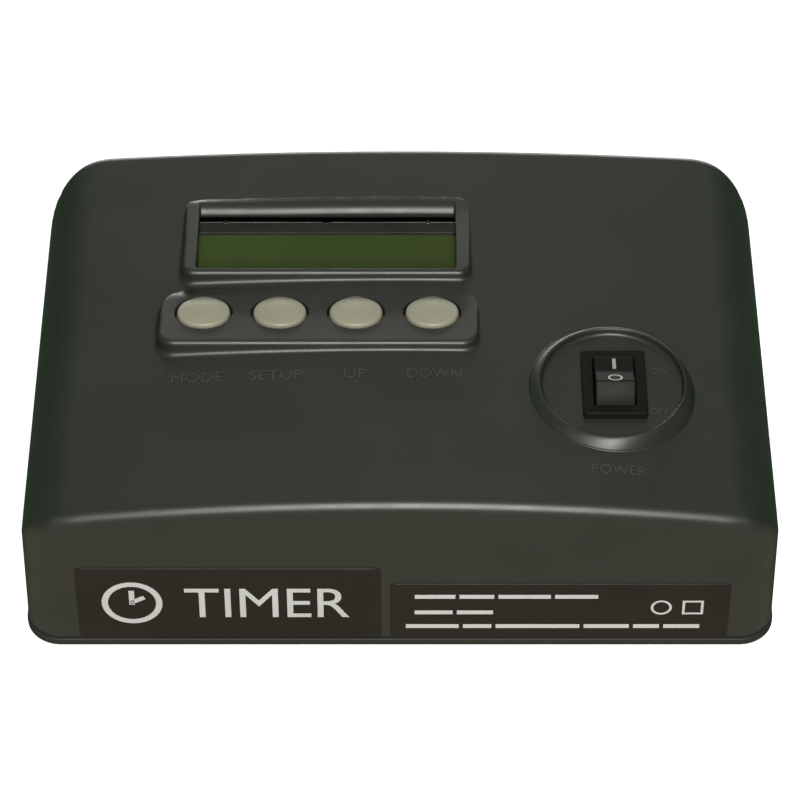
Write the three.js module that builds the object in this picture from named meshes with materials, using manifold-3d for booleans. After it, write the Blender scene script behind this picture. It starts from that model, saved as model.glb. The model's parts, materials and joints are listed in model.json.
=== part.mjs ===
// Desktop timer box: a moulded two-part case with a character display, four push keys,
// a mains rocker switch and the boards, supply and rear connectors inside.
// Millimetres. X runs to the right, Y to the back, Z up. The feet stand on Z = 0.
import * as THREE from "three";
import { mergeVertices } from "three/addons/utils/BufferGeometryUtils.js";
import Module from "manifold-3d";

const wasm = await Module();
wasm.setup();

// ---------------------------------------------------------------- driving dimensions

const FOOT = { radius: 7, top: 2.4, x: 64, y: 43 };

// The case is widest at its lower edge and leans in by the draft angle.
const OUTER = {
  width: 179.3,
  depth: 126.2,
  baseZ: 2.5,
  topZ: 50.7,
  draft: 0.97 * Math.PI / 180,
  crownFront: 628,
  crownRear: 1083,
  shoulder: 13.6,
  frontCorner: 8.6,
  rearCorner: 15.8,
  edge: 2.84,
};
const WALL = 2.4;
const SHELL_BOTTOM = 5;
const BASE = { z0: 2.5, z1: 4.7, proud: 0.25, lipTop: 7.6, lipWall: 1.6, lipGap: 0.35 };

const PAD_TOP = 53.1;
const PAD_UNDER = 48.5;
const PAD_REAR = 50.2;
const DISPLAY_PAD = { x0: -53.7, x1: 17.4, y0: 13.3, y1: 42.5, corner: 3 };
const DISPLAY_OPENING = { x0: -50.2, x1: 13.8, y0: 15, y1: 38.1 };
const KEY_PAD = { x0: -58.6, x1: 19, y0: -11.1, y1: 11.6, corner: 4 };

const KEY = {
  firstX: -47.7,
  pitch: 18.5,
  y: 0.8,
  width: 12.9,
  depth: 11.5,
  gap: 0.55,
  sideTop: 52.1,
  domeTop: 53.1,
  rimWidth: 15,
  rimDepth: 13.8,
  rimZ0: 47,
  rimZ1: 48.2,
  stemRadius: 2,
  stemBottom: 44.4,
};
const KEY_NAMES = ["mode", "setup", "up", "down"];

const RING = { x: 50.6, y: -22.8, outer: 20.3, inner: 17.2, floor: 50.1, height: 1.9, oval: 1.02 };

const ROCKER = {
  x: 51,
  y: -23.15,
  flangeWidth: 15.3,
  flangeDepth: 21.3,
  flangeZ0: 50.2,
  flangeZ1: 52.15,
  bodyWidth: 12.8,
  bodyDepth: 18.8,
  bodyBottom: 34.2,
  windowWidth: 10,
  windowDepth: 16,
  cavityBottom: 38.4,
  pivotDrop: 2.5,
  capWidth: 9.2,
  capRadius: 7.75,
  capCorner: 47.5,
  valley: 4.74,
  tilt: 12,
  pinRadius: 1.2,
  leverTilt: 6,
};

const DISPLAY = {
  x: -18.4,
  y: 25,
  bezelWidth: 71.2,
  bezelDepth: 25.2,
  bezelTop: 47.6,
  bezelBottom: 40.9,
  sheet: 0.6,
  windowWidth: 64.5,
  windowDepth: 16,
  windowShift: 0.55,
  boardWidth: 80,
  boardDepth: 36,
  boardZ0: 39,
  boardZ1: 40.6,
  screwX: 37.5,
  screwY: 15.5,
};

const KEY_BOARD = { x0: -58, x1: 18, y0: -13.4, y1: 5.6, z0: 37.3, z1: 38.9, screwX: [-38.5, -1.5], screwY: -9.9 };

const CASE_SCREW = { x: 78, y: 51, postRadius: 4, bossTop: 8 };

const MAIN_BOARD = { x0: -73, x1: 34, y0: -48, y1: 28, z0: 12, z1: 13.6 };

const RECESS = { x0: -62.5, x1: 44.5, z0: 9, z1: 43, floor: 59.2, back: 56.7 };
const CONNECTOR = {
  z: 26,
  width: 27.4,
  height: 19.8,
  rear: 61.8,
  flangeFront: 59.35,
  flangeWidth: 31,
  flangeHeight: 24.4,
  front: 36,
};
const INLET_X = 26;
const OUTLET_X = -8;
const FUSE = { x: -44, radius: 6, flangeRadius: 7.6, front: 30, capRadius: 5, linkRadius: 2.5 };

const BADGE = { x0: -76.6, x1: -4.5, z0: 5.4, z1: 29.7 };
const RATING = { x0: -2.3, x1: 78.2, z0: 5.3, z1: 24.4 };
const LABEL = { thick: 0.22, gap: 0.06, corner: 1.5 };

// ---------------------------------------------------------------- solid helpers

function toSolid(geometry) {
  const bare = geometry.clone();
  bare.deleteAttribute("normal");
  bare.deleteAttribute("uv");
  const merged = mergeVertices(bare, 1e-4);
  const corners = merged.index.array;
  const kept = [];
  for (let i = 0; i < corners.length; i += 3) {
    const [a, b, c] = [corners[i], corners[i + 1], corners[i + 2]];
    if (a !== b && b !== c && a !== c) {
      kept.push(a, b, c);
    }
  }
  const vertProperties = new Float32Array(merged.attributes.position.array);
  const triVerts = new Uint32Array(kept);
  return new wasm.Manifold(new wasm.Mesh({ numProp: 3, vertProperties, triVerts }));
}

function toGeometry(solid) {
  const mesh = solid.getMesh();
  const geometry = new THREE.BufferGeometry();
  geometry.setAttribute("position", new THREE.BufferAttribute(new Float32Array(mesh.vertProperties), 3));
  geometry.setIndex(new THREE.BufferAttribute(new Uint32Array(mesh.triVerts), 1));
  geometry.computeVertexNormals();
  return geometry;
}

function box(x0, x1, y0, y1, z0, z1) {
  const geometry = new THREE.BoxGeometry(x1 - x0, y1 - y0, z1 - z0);
  geometry.translate((x0 + x1) / 2, (y0 + y1) / 2, (z0 + z1) / 2);
  return toSolid(geometry);
}

function uprightCylinder(x, y, radius, z0, z1, sides = 24) {
  const geometry = new THREE.CylinderGeometry(radius, radius, z1 - z0, sides);
  geometry.rotateX(Math.PI / 2);
  geometry.translate(x, y, (z0 + z1) / 2);
  return toSolid(geometry);
}

function lyingCylinder(x, z, radius, y0, y1, sides = 24) {
  const geometry = new THREE.CylinderGeometry(radius, radius, y1 - y0, sides);
  geometry.translate(x, (y0 + y1) / 2, z);
  return toSolid(geometry);
}

function crosswiseCylinder(y, z, radius, x0, x1, sides = 16) {
  const geometry = new THREE.CylinderGeometry(radius, radius, x1 - x0, sides);
  geometry.rotateZ(Math.PI / 2);
  geometry.translate((x0 + x1) / 2, y, z);
  return toSolid(geometry);
}

function roundedShape(x0, x1, y0, y1, frontRadius, rearRadius = frontRadius) {
  const shape = new THREE.Shape();
  shape.moveTo(x0 + frontRadius, y0);
  shape.lineTo(x1 - frontRadius, y0);
  shape.absarc(x1 - frontRadius, y0 + frontRadius, frontRadius, -Math.PI / 2, 0, false);
  shape.lineTo(x1, y1 - rearRadius);
  shape.absarc(x1 - rearRadius, y1 - rearRadius, rearRadius, 0, Math.PI / 2, false);
  shape.lineTo(x0 + rearRadius, y1);
  shape.absarc(x0 + rearRadius, y1 - rearRadius, rearRadius, Math.PI / 2, Math.PI, false);
  shape.lineTo(x0, y0 + frontRadius);
  shape.absarc(x0 + frontRadius, y0 + frontRadius, frontRadius, Math.PI, 1.5 * Math.PI, false);
  return shape;
}

function prism(shape, z0, z1, curveSegments = 6, bevel = 0) {
  const geometry = new THREE.ExtrudeGeometry(shape, {
    depth: z1 - z0 - 2 * bevel,
    curveSegments,
    bevelEnabled: bevel > 0,
    bevelThickness: bevel,
    bevelSize: bevel,
    bevelOffset: -bevel,
    bevelSegments: 1,
  });
  geometry.translate(0, 0, z0 + bevel);
  return toSolid(geometry);
}

function ovalPrism(x, y, width, depth, z0, z1, segments = 14) {
  const shape = new THREE.Shape();
  shape.absellipse(x, y, width / 2, depth / 2, 0, 2 * Math.PI, false, 0);
  return prism(shape, z0, z1, segments);
}

function turned(profile, x, y, sides = 32) {
  const points = profile.map(([radius, height]) => new THREE.Vector2(radius, height));
  const geometry = new THREE.LatheGeometry(points, sides);
  geometry.rotateX(Math.PI / 2);
  geometry.translate(x, y, 0);
  return toSolid(geometry);
}

function unionAll(solids) {
  return solids.reduce((sum, next) => sum.add(next));
}

// ---------------------------------------------------------------- case skin

// Negative inside the case skin, positive outside it.
function skinField(x, y, z, size) {
  const lean = (z - size.baseZ) * Math.tan(size.draft);
  const corner = y < 0 ? size.frontCorner : size.rearCorner;
  const overX = Math.abs(x) - (size.width / 2 - lean) + corner;
  const overY = Math.abs(y) - (size.depth / 2 - lean) + corner;
  const reach = Math.hypot(Math.max(overX, 0), Math.max(overY, 0));
  const around = reach + Math.min(Math.max(overX, overY), 0) - corner;
  let sideways = overX > overY ? 1 : 0;
  if (reach > 1e-9) {
    sideways = Math.max(overX, 0) / reach;
  }
  const blend = y / size.depth + 0.5;
  const crown = size.crownFront + (size.crownRear - size.crownFront) * blend;
  const shoulderX = size.width / 2 - (30 - size.baseZ) * Math.tan(size.draft) - size.shoulder;
  const crownZ = size.topZ - crown;
  const shoulderZ = crownZ + Math.sqrt((crown - size.shoulder) ** 2 - shoulderX ** 2);
  const turn = Math.atan2(shoulderX, shoulderZ - crownZ);
  const fromCrown = Math.hypot(x, z - crownZ);
  let above = fromCrown - crown;
  let tipped = Math.abs(x) / fromCrown;
  if (Math.atan2(Math.abs(x), z - crownZ) > turn) {
    const dx = Math.abs(x) - shoulderX;
    const dz = z - shoulderZ;
    above = dz > 0 ? Math.hypot(dx, dz) - size.shoulder : Math.abs(x) - size.width / 2 + lean;
    tipped = dz > 0 ? Math.max(dx, 0) / Math.hypot(dx, dz) : 1;
  }
  const edge = size.edge * (1 - tipped * sideways) + 1e-6;
  const a = Math.max(edge + above, 0);
  const b = Math.max(edge + around, 0);
  return Math.min(-edge, Math.max(above, around)) + Math.hypot(a, b);
}

function reachSkin(start, direction, size) {
  let near = 0;
  let far = 80;
  for (let step = 0; step < 40; step += 1) {
    const middle = (near + far) / 2;
    const point = start.clone().addScaledVector(direction, middle);
    if (skinField(point.x, point.y, point.z, size) < 0) {
      near = middle;
    } else {
      far = middle;
    }
  }
  return start.clone().addScaledVector(direction, near);
}

// Points on an inset rectangle, each with the plan direction its ribs run out in.
function rimStations(halfX, halfY, strips, frontTurns, rearTurns) {
  const stations = [];
  const place = (x, y, degrees) => {
    const angle = degrees * Math.PI / 180;
    stations.push({ x, y, outX: Math.cos(angle), outY: Math.sin(angle) });
  };
  for (let i = 0; i <= strips; i += 1) {
    place(-halfX + (2 * halfX * i) / strips, -halfY, -90);
  }
  frontTurns.forEach((turn) => place(halfX, -halfY, -90 + turn));
  place(halfX, -halfY, 0);
  place(halfX, halfY, 0);
  rearTurns.forEach((turn) => place(halfX, halfY, turn));
  for (let i = 0; i <= strips; i += 1) {
    place(halfX - (2 * halfX * i) / strips, halfY, 90);
  }
  rearTurns.forEach((turn) => place(-halfX, halfY, 90 + turn));
  place(-halfX, halfY, 180);
  place(-halfX, -halfY, 180);
  frontTurns.forEach((turn) => place(-halfX, -halfY, 180 + turn));
  return stations;
}

// How far the middle of a straight line between two skin points lies from the skin.
function offSkin(from, to, size) {
  const middle = from.clone().lerp(to, 0.5);
  return Math.abs(skinField(middle.x, middle.y, middle.z, size));
}

function skinSolid(size, bottomZ, detail) {
  const inset = 17;
  const hubZ = size.topZ - 22;
  const halfX = size.width / 2 - inset;
  const halfY = size.depth / 2 - inset;
  const stations = rimStations(halfX, halfY, detail.strips, detail.frontTurns, detail.rearTurns);
  const rings = [];
  rings.push(stations.map((s) => {
    return reachSkin(new THREE.Vector3(s.x, s.y, bottomZ), new THREE.Vector3(s.outX, s.outY, 0), size);
  }));
  detail.climbs.forEach((degrees) => {
    const climb = degrees * Math.PI / 180;
    rings.push(stations.map((s) => {
      const across = Math.cos(climb);
      const direction = new THREE.Vector3(s.outX * across, s.outY * across, Math.sin(climb));
      return reachSkin(new THREE.Vector3(s.x, s.y, hubZ), direction, size);
    }));
  });
  const count = stations.length;
  const positions = [];
  rings.forEach((ring) => ring.forEach((p) => positions.push(p.x, p.y, p.z)));
  const under = positions.length / 3;
  positions.push(0, 0, bottomZ);
  const corners = [];
  for (let r = 0; r + 1 < rings.length; r += 1) {
    for (let i = 0; i < count; i += 1) {
      const j = (i + 1) % count;
      const [a, b, c, d] = [r * count + i, r * count + j, (r + 1) * count + j, (r + 1) * count + i];
      const first = offSkin(rings[r][i], rings[r + 1][j], size);
      const second = offSkin(rings[r][j], rings[r + 1][i], size);
      if (first <= second) {
        corners.push(a, b, c, a, c, d);
      } else {
        corners.push(a, b, d, b, c, d);
      }
    }
  }
  const top = (rings.length - 1) * count;
  const rearStart = detail.strips + 1 + detail.frontTurns.length + 2 + detail.rearTurns.length;
  for (let i = 0; i < detail.strips; i += 1) {
    const [a, b] = [top + i, top + i + 1];
    const [c, d] = [top + rearStart + detail.strips - i - 1, top + rearStart + detail.strips - i];
    corners.push(a, b, c, a, c, d);
  }
  for (let i = 0; i < count; i += 1) {
    corners.push((i + 1) % count, i, under);
  }
  const geometry = new THREE.BufferGeometry();
  geometry.setAttribute("position", new THREE.BufferAttribute(new Float32Array(positions), 3));
  geometry.setIndex(corners);
  return toSolid(geometry);
}

const FINE = {
  strips: 8,
  frontTurns: [22, 34, 45, 56, 68],
  rearTurns: [20, 45, 70],
  climbs: [0, 18, 33, 46, 50.5, 54.5, 59, 68, 79, 90],
};
const COARSE = {
  strips: 4,
  frontTurns: [33, 45, 57],
  rearTurns: [14, 30, 45, 60, 76],
  climbs: [0, 22, 48, 62, 90],
};

function innerSize() {
  return {
    ...OUTER,
    width: OUTER.width - 2 * WALL,
    depth: OUTER.depth - 2 * WALL,
    topZ: OUTER.topZ - WALL - 0.2,
    shoulder: OUTER.shoulder - WALL,
    frontCorner: OUTER.frontCorner - WALL,
    rearCorner: OUTER.rearCorner - WALL,
    edge: 1,
  };
}

// ---------------------------------------------------------------- case

// A pad's top is highest along its front edge and falls to the rear, where it runs out into the case top.
function padSlope(pad) {
  return Math.atan((PAD_TOP - PAD_REAR) / (pad.y1 - pad.y0));
}

function aboveSlope(pad, y, z) {
  return box(-70, 70, -30, 60, 0, 20).rotate([(-padSlope(pad) * 180) / Math.PI, 0, 0]).translate([0, y, z]);
}

function padSolid(pad) {
  const block = prism(roundedShape(pad.x0, pad.x1, pad.y0, pad.y1, pad.corner), PAD_UNDER, PAD_TOP, 4, 0.6);
  return block.subtract(aboveSlope(pad, pad.y0, PAD_TOP));
}

function keyCentres() {
  return KEY_NAMES.map((name, index) => ({ name, x: KEY.firstX + KEY.pitch * index }));
}

function screwPosts(outerSolid) {
  const posts = [];
  for (const x of [-CASE_SCREW.x, CASE_SCREW.x]) {
    for (const y of [-CASE_SCREW.y, CASE_SCREW.y]) {
      const post = uprightCylinder(x, y, CASE_SCREW.postRadius, CASE_SCREW.bossTop + 0.4, 44, 16);
      posts.push(post);
    }
  }
  const shrunk = outerSolid.translate([0, 0, -1]);
  return unionAll(posts).intersect(shrunk);
}

function displayPostCentres() {
  const centres = [];
  for (const dx of [-DISPLAY.screwX, DISPLAY.screwX]) {
    for (const dy of [-DISPLAY.screwY, DISPLAY.screwY]) {
      centres.push([DISPLAY.x + dx, DISPLAY.y + dy]);
    }
  }
  return centres;
}

function ringBead() {
  const middle = (RING.outer + RING.inner) / 2;
  const half = (RING.outer - RING.inner) / 2;
  const profile = [[middle - half, 46.4]];
  for (let i = 0; i <= 4; i += 1) {
    const angle = Math.PI - (i * Math.PI) / 4;
    const lift = RING.height - half;
    profile.push([middle + half * Math.cos(angle), RING.floor + lift + half * Math.sin(angle)]);
  }
  profile.push([middle + half, 46.4]);
  profile.push([middle - half, 46.4]);
  return turned(profile.reverse(), 0, 0, 32).scale([1, RING.oval, 1]).translate([RING.x, RING.y, 0]);
}

function ringDisc(radius, z0, z1) {
  return uprightCylinder(0, 0, radius, z0, z1, 32).scale([1, RING.oval, 1]).translate([RING.x, RING.y, 0]);
}

function topShell() {
  const outer = skinSolid(OUTER, SHELL_BOTTOM, FINE);
  let shell = outer.subtract(skinSolid(innerSize(), -5, COARSE));
  shell = shell.add(screwPosts(outer));
  shell = shell.add(box(RECESS.x0 - 2.5, RECESS.x1 + 2.5, RECESS.back, 61.4, RECESS.z0 - 2.5, RECESS.z1 + 2));
  shell = shell.subtract(box(RECESS.x0, RECESS.x1, RECESS.floor, 70, RECESS.z0, RECESS.z1));
  shell = shell.add(padSolid(DISPLAY_PAD)).add(padSolid(KEY_PAD));
  shell = shell.add(ringDisc(RING.outer - 0.4, 46.4, RING.floor));
  shell = shell.subtract(ringDisc(RING.inner + 0.3, RING.floor, 56));
  shell = shell.add(ringBead());
  displayPostCentres().forEach(([x, y]) => {
    shell = shell.add(uprightCylinder(x, y, 2.6, DISPLAY.boardZ1 + 0.2, 48.3, 14));
  });
  KEY_BOARD.screwX.forEach((x) => {
    shell = shell.add(uprightCylinder(x, KEY_BOARD.screwY, 2.3, KEY_BOARD.z1 + 0.2, 48.3, 14));
  });
  return cutShell(shell);
}

function cutShell(whole) {
  const open = DISPLAY_OPENING;
  let shell = whole.subtract(box(open.x0, open.x1, open.y0, open.y1, 30, 60));
  const halfW = DISPLAY.bezelWidth / 2 + 0.35;
  const halfD = DISPLAY.bezelDepth / 2 + 0.35;
  shell = shell.subtract(
    box(DISPLAY.x - halfW, DISPLAY.x + halfW, DISPLAY.y - halfD, DISPLAY.y + halfD, 30, PAD_UNDER),
  );
  keyCentres().forEach(({ x }) => {
    shell = shell.subtract(ovalPrism(x, KEY.y, KEY.width + 2 * KEY.gap, KEY.depth + 2 * KEY.gap, 30, 60, 10));
  });
  shell = shell.subtract(box(-56.4, 17.2, KEY.y - 7.3, KEY.y + 7.3, 30, PAD_UNDER));
  const halfX = ROCKER.bodyWidth / 2 + 0.25;
  const halfY = ROCKER.bodyDepth / 2 + 0.25;
  shell = shell.subtract(
    box(ROCKER.x - halfX, ROCKER.x + halfX, ROCKER.y - halfY, ROCKER.y + halfY, 30, 60),
  );
  for (const x of [INLET_X, OUTLET_X]) {
    const w = CONNECTOR.width / 2 + 0.3;
    const h = CONNECTOR.height / 2 + 0.3;
    shell = shell.subtract(box(x - w, x + w, 50, 66, CONNECTOR.z - h, CONNECTOR.z + h));
  }
  shell = shell.subtract(lyingCylinder(FUSE.x, CONNECTOR.z, FUSE.radius + 0.35, 50, 66));
  displayPostCentres().forEach(([x, y]) => {
    shell = shell.subtract(uprightCylinder(x, y, 1.4, 30, 46, 10));
  });
  KEY_BOARD.screwX.forEach((x) => {
    shell = shell.subtract(uprightCylinder(x, KEY_BOARD.screwY, 1.4, 30, 46, 10));
  });
  for (const x of [-CASE_SCREW.x, CASE_SCREW.x]) {
    for (const y of [-CASE_SCREW.y, CASE_SCREW.y]) {
      shell = shell.subtract(uprightCylinder(x, y, 1.8, 0, 22, 10));
    }
  }
  return shell;
}

function basePlate() {
  const halfX = OUTER.width / 2 + BASE.proud;
  const halfY = OUTER.depth / 2 + BASE.proud;
  let plate = prism(
    roundedShape(-halfX, halfX, -halfY, halfY, OUTER.frontCorner, OUTER.rearCorner),
    BASE.z0, BASE.z1, 4, 0.35,
  );
  const inX = OUTER.width / 2 - WALL - BASE.lipGap;
  const inY = OUTER.depth / 2 - WALL - BASE.lipGap;
  const lip = prism(roundedShape(-inX, inX, -inY, inY, 7, 14), BASE.z1 - 1, BASE.lipTop, 4);
  const hollow = prism(
    roundedShape(
      -inX + BASE.lipWall, inX - BASE.lipWall, -inY + BASE.lipWall, inY - BASE.lipWall, 5.4, 12.4,
    ),
    BASE.z1, BASE.lipTop + 1, 4,
  );
  const rearClear = box(RECESS.x0 - 3, RECESS.x1 + 3, RECESS.back - 0.4, 70, 6, 20);
  plate = plate.add(lip.subtract(hollow).subtract(rearClear));
  for (const x of [-CASE_SCREW.x, CASE_SCREW.x]) {
    for (const y of [-CASE_SCREW.y, CASE_SCREW.y]) {
      plate = plate.add(uprightCylinder(x, y, 4.6, BASE.z0 + 1, CASE_SCREW.bossTop, 14));
      plate = plate.subtract(uprightCylinder(x, y, 3.3, 0, 5.4, 14));
      plate = plate.subtract(uprightCylinder(x, y, 1.8, 0, 12, 10));
    }
  }
  boardPegs().forEach(([x, y]) => {
    plate = plate.add(uprightCylinder(x, y, 3, BASE.z0 + 1, MAIN_BOARD.z0 - 0.2, 10));
    plate = plate.add(uprightCylinder(x, y, 1.3, 6, MAIN_BOARD.z1 + 1.2, 8));
  });
  return plate;
}

function boardPegs() {
  const pegs = [];
  for (const x of [MAIN_BOARD.x0 + 4, MAIN_BOARD.x1 - 4]) {
    for (const y of [MAIN_BOARD.y0 + 4, MAIN_BOARD.y1 - 4]) {
      pegs.push([x, y]);
    }
  }
  return pegs;
}

function foot(x, y) {
  return turned([[0, 0], [FOOT.radius - 0.6, 0], [FOOT.radius, 0.6], [FOOT.radius, FOOT.top], [0, FOOT.top]], x, y, 24);
}

function crossHeadScrew(x, y, headZ, headRadius, headHeight, shankRadius, tipZ) {
  const head = turned(
    [[0, headZ], [headRadius * 0.7, headZ], [headRadius, headZ + 0.5], [headRadius, headZ + headHeight],
      [shankRadius, headZ + headHeight], [shankRadius, tipZ - 1.5], [0, tipZ]],
    x, y, 14,
  );
  const slot = 0.28 * headRadius;
  const arm = 0.62 * headRadius;
  const cross = box(x - arm, x + arm, y - slot / 2, y + slot / 2, headZ - 1, headZ + 0.55 * headHeight)
    .add(box(x - slot / 2, x + slot / 2, y - arm, y + arm, headZ - 1, headZ + 0.55 * headHeight));
  return head.subtract(cross);
}

function labelPlate(area) {
  const flat = prism(
    roundedShape(area.x0, area.x1, 0, area.z1 - area.z0, LABEL.corner), 0, LABEL.thick, 3,
  );
  const face = -OUTER.depth / 2 + (area.z0 - OUTER.baseZ) * Math.tan(OUTER.draft) - LABEL.gap;
  const lean = 90 - (OUTER.draft * 180) / Math.PI;
  return flat.rotate([lean, 0, 0]).translate([0, face, area.z0]);
}

// ---------------------------------------------------------------- display module

function displayBezel() {
  const d = DISPLAY;
  const [x0, x1] = [d.x - d.bezelWidth / 2, d.x + d.bezelWidth / 2];
  const [y0, y1] = [d.y - d.bezelDepth / 2, d.y + d.bezelDepth / 2];
  const s = d.sheet;
  const shell = prism(roundedShape(x0, x1, y0, y1, 0.8), d.bezelBottom, d.bezelTop, 3);
  const windowY = d.y + d.windowShift;
  return shell
    .subtract(box(x0 + s, x1 - s, y0 + s, y1 - s, 30, d.bezelTop - s))
    .subtract(box(
      d.x - d.windowWidth / 2, d.x + d.windowWidth / 2,
      windowY - d.windowDepth / 2, windowY + d.windowDepth / 2, 30, 60,
    ));
}

function displaySlab(halfWidth, halfDepth, z0, z1) {
  const d = DISPLAY;
  return box(d.x - halfWidth, d.x + halfWidth, d.y - halfDepth, d.y + halfDepth, z0, z1);
}

function displayBoard() {
  const d = DISPLAY;
  let board = displaySlab(d.boardWidth / 2, d.boardDepth / 2, d.boardZ0, d.boardZ1);
  displayPostCentres().forEach(([x, y]) => {
    board = board.subtract(uprightCylinder(x, y, 1.5, 30, 50, 12));
  });
  return board;
}

function displayPins() {
  const y = DISPLAY.y - DISPLAY.boardDepth / 2 + 3;
  const strip = box(-51.7, -11.1, y - 1.25, y + 1.25, DISPLAY.boardZ0 - 2.6, DISPLAY.boardZ0 - 0.1);
  const pins = [];
  for (let i = 0; i < 8; i += 1) {
    const x = -49.2 + i * 5.08;
    pins.push(box(x - 0.32, x + 0.32, y - 0.32, y + 0.32, DISPLAY.boardZ0 - 5.6, DISPLAY.boardZ0 - 1));
  }
  return strip.add(unionAll(pins));
}

// ---------------------------------------------------------------- keys

function keyCap(x) {
  const y = KEY.y;
  const tall = ovalPrism(x, y, KEY.width, KEY.depth, KEY.rimZ0 + 0.4, KEY.sideTop + 2, 8);
  const wall = tall.subtract(aboveSlope(KEY_PAD, y, KEY.sideTop));
  const dome = new THREE.SphereGeometry(1, 16, 8);
  dome.rotateX(Math.PI / 2);
  dome.scale(KEY.width / 2 - 0.03, KEY.depth / 2 - 0.03, KEY.domeTop - KEY.sideTop);
  dome.rotateX(-padSlope(KEY_PAD));
  dome.translate(x, y, KEY.sideTop);
  const rim = ovalPrism(x, y, KEY.rimWidth, KEY.rimDepth, KEY.rimZ0, KEY.rimZ1, 8);
  const stem = uprightCylinder(x, y, KEY.stemRadius, KEY.stemBottom, KEY.rimZ0 + 1, 12);
  return wall.add(toSolid(dome)).add(rim).add(stem);
}

function keySwitch(x) {
  const y = KEY.y;
  const z = KEY_BOARD.z1;
  const body = box(x - 3, x + 3, y - 3, y + 3, z + 0.2, z + 3.8);
  const legs = box(x - 3.6, x + 3.6, y - 2.5, y - 1.8, z + 0.2, z + 1.6)
    .add(box(x - 3.6, x + 3.6, y + 1.8, y + 2.5, z + 0.2, z + 1.6));
  const well = uprightCylinder(x, y, 2.05, z + 2, z + 6, 14);
  return body.add(legs).subtract(well);
}

function keyPlunger(x) {
  return uprightCylinder(x, KEY.y, 1.7, KEY_BOARD.z1 + 2.65, KEY.stemBottom - 0.15, 14);
}

function keyBoard() {
  const b = KEY_BOARD;
  let board = box(b.x0, b.x1, b.y0, b.y1, b.z0, b.z1);
  b.screwX.forEach((x) => {
    board = board.subtract(uprightCylinder(x, b.screwY, 1.5, 30, 50, 12));
  });
  return board;
}

// ---------------------------------------------------------------- rocker switch

const PIVOT_Z = ROCKER.flangeZ1 - ROCKER.pivotDrop;
const LEVER_Z = PIVOT_Z - 7.2;

function rockerHousing() {
  const r = ROCKER;
  const flange = prism(
    roundedShape(
      r.x - r.flangeWidth / 2, r.x + r.flangeWidth / 2, r.y - r.flangeDepth / 2, r.y + r.flangeDepth / 2, 0.8,
    ),
    r.flangeZ0, r.flangeZ1, 3, 0.3,
  );
  const [x0, x1] = [r.x - r.bodyWidth / 2, r.x + r.bodyWidth / 2];
  const [y0, y1] = [r.y - r.bodyDepth / 2, r.y + r.bodyDepth / 2];
  const body = box(x0, x1, y0, y1, r.bodyBottom, r.flangeZ0 + 0.5);
  const w = r.windowWidth / 2;
  const d = r.windowDepth / 2;
  let housing = flange.add(body);
  housing = housing.subtract(box(r.x - w, r.x + w, r.y - d, r.y + d, r.cavityBottom, 60));
  housing = housing.subtract(crosswiseCylinder(r.y, PIVOT_Z, r.pinRadius + 0.25, r.x - 6.1, r.x + 6.1, 16));
  terminalPlaces().forEach((y) => {
    housing = housing.subtract(box(r.x - 2.7, r.x + 2.7, y - 0.65, y + 0.65, 20, 50));
  });
  return housing;
}

function rockerCap() {
  const r = ROCKER;
  const shape = new THREE.Shape();
  const at = (degrees, radius) => {
    const angle = degrees * Math.PI / 180;
    return [radius * Math.cos(angle), radius * Math.sin(angle)];
  };
  shape.moveTo(0, r.valley);
  shape.lineTo(...at(180 - r.capCorner, r.capRadius));
  for (let degrees = 180 - r.capCorner + 12; degrees < 196; degrees += 12) {
    shape.lineTo(...at(degrees, r.capRadius));
  }
  shape.lineTo(-5.4, -3);
  shape.lineTo(-1.3, -3.2);
  shape.lineTo(-0.9, -6);
  shape.lineTo(0.9, -6);
  shape.lineTo(1.3, -3.2);
  shape.lineTo(5.4, -3);
  for (let degrees = -15; degrees < r.capCorner - 1; degrees += 12) {
    shape.lineTo(...at(degrees, r.capRadius));
  }
  shape.lineTo(...at(r.capCorner, r.capRadius));
  const block = prism(shape, -r.capWidth / 2, r.capWidth / 2);
  // The profile is drawn across and up, then stood up so that it is swept along X.
  const upright = block.rotate([90, 0, 90]);
  const pins = crosswiseCylinder(0, 0, r.pinRadius, -r.capWidth / 2 - 0.8, r.capWidth / 2 + 0.8, 14);
  return upright.add(pins).rotate([-r.tilt, 0, 0]).translate([r.x, r.y, PIVOT_Z]);
}

function rockerLever() {
  const r = ROCKER;
  const plate = box(-2.3, 2.3, -6, 6, -0.3, 0.3);
  const contact = uprightCylinder(0, 4.9, 1.1, -0.9, 0.1, 10);
  return plate.add(contact).rotate([r.leverTilt, 0, 0]).translate([r.x, r.y, LEVER_Z]);
}

function terminalPlaces() {
  return [ROCKER.y, ROCKER.y + 6.6];
}

function rockerTerminal(y, top) {
  const x = ROCKER.x;
  const blade = box(x - 2.4, x + 2.4, y - 0.4, y + 0.4, 23.5, top);
  return blade.subtract(box(x - 0.8, x + 0.8, y - 2, y + 2, 25.5, 27.5));
}

// ---------------------------------------------------------------- main board and its parts

function mainBoard() {
  const b = MAIN_BOARD;
  let board = box(b.x0, b.x1, b.y0, b.y1, b.z0, b.z1);
  boardPegs().forEach(([x, y]) => {
    board = board.subtract(uprightCylinder(x, y, 1.6, 0, 20, 12));
  });
  return board;
}

const ON_BOARD = MAIN_BOARD.z1 + 0.15;

function transformerCore(x, y) {
  const core = box(x - 16, x + 16, y - 6, y + 6, ON_BOARD, ON_BOARD + 26);
  const left = box(x - 11.5, x - 5.5, y - 9, y + 9, ON_BOARD + 5, ON_BOARD + 21);
  const right = box(x + 5.5, x + 11.5, y - 9, y + 9, ON_BOARD + 5, ON_BOARD + 21);
  return core.subtract(left).subtract(right);
}

function transformerBobbin(x, y) {
  const coil = prism(roundedShape(x - 11.2, x + 11.2, y - 12, y + 12, 2), ON_BOARD + 5.3, ON_BOARD + 20.7, 3);
  const leg = box(x - 5.8, x + 5.8, y - 6.3, y + 6.3, ON_BOARD, ON_BOARD + 26);
  return coil.subtract(leg);
}

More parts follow.
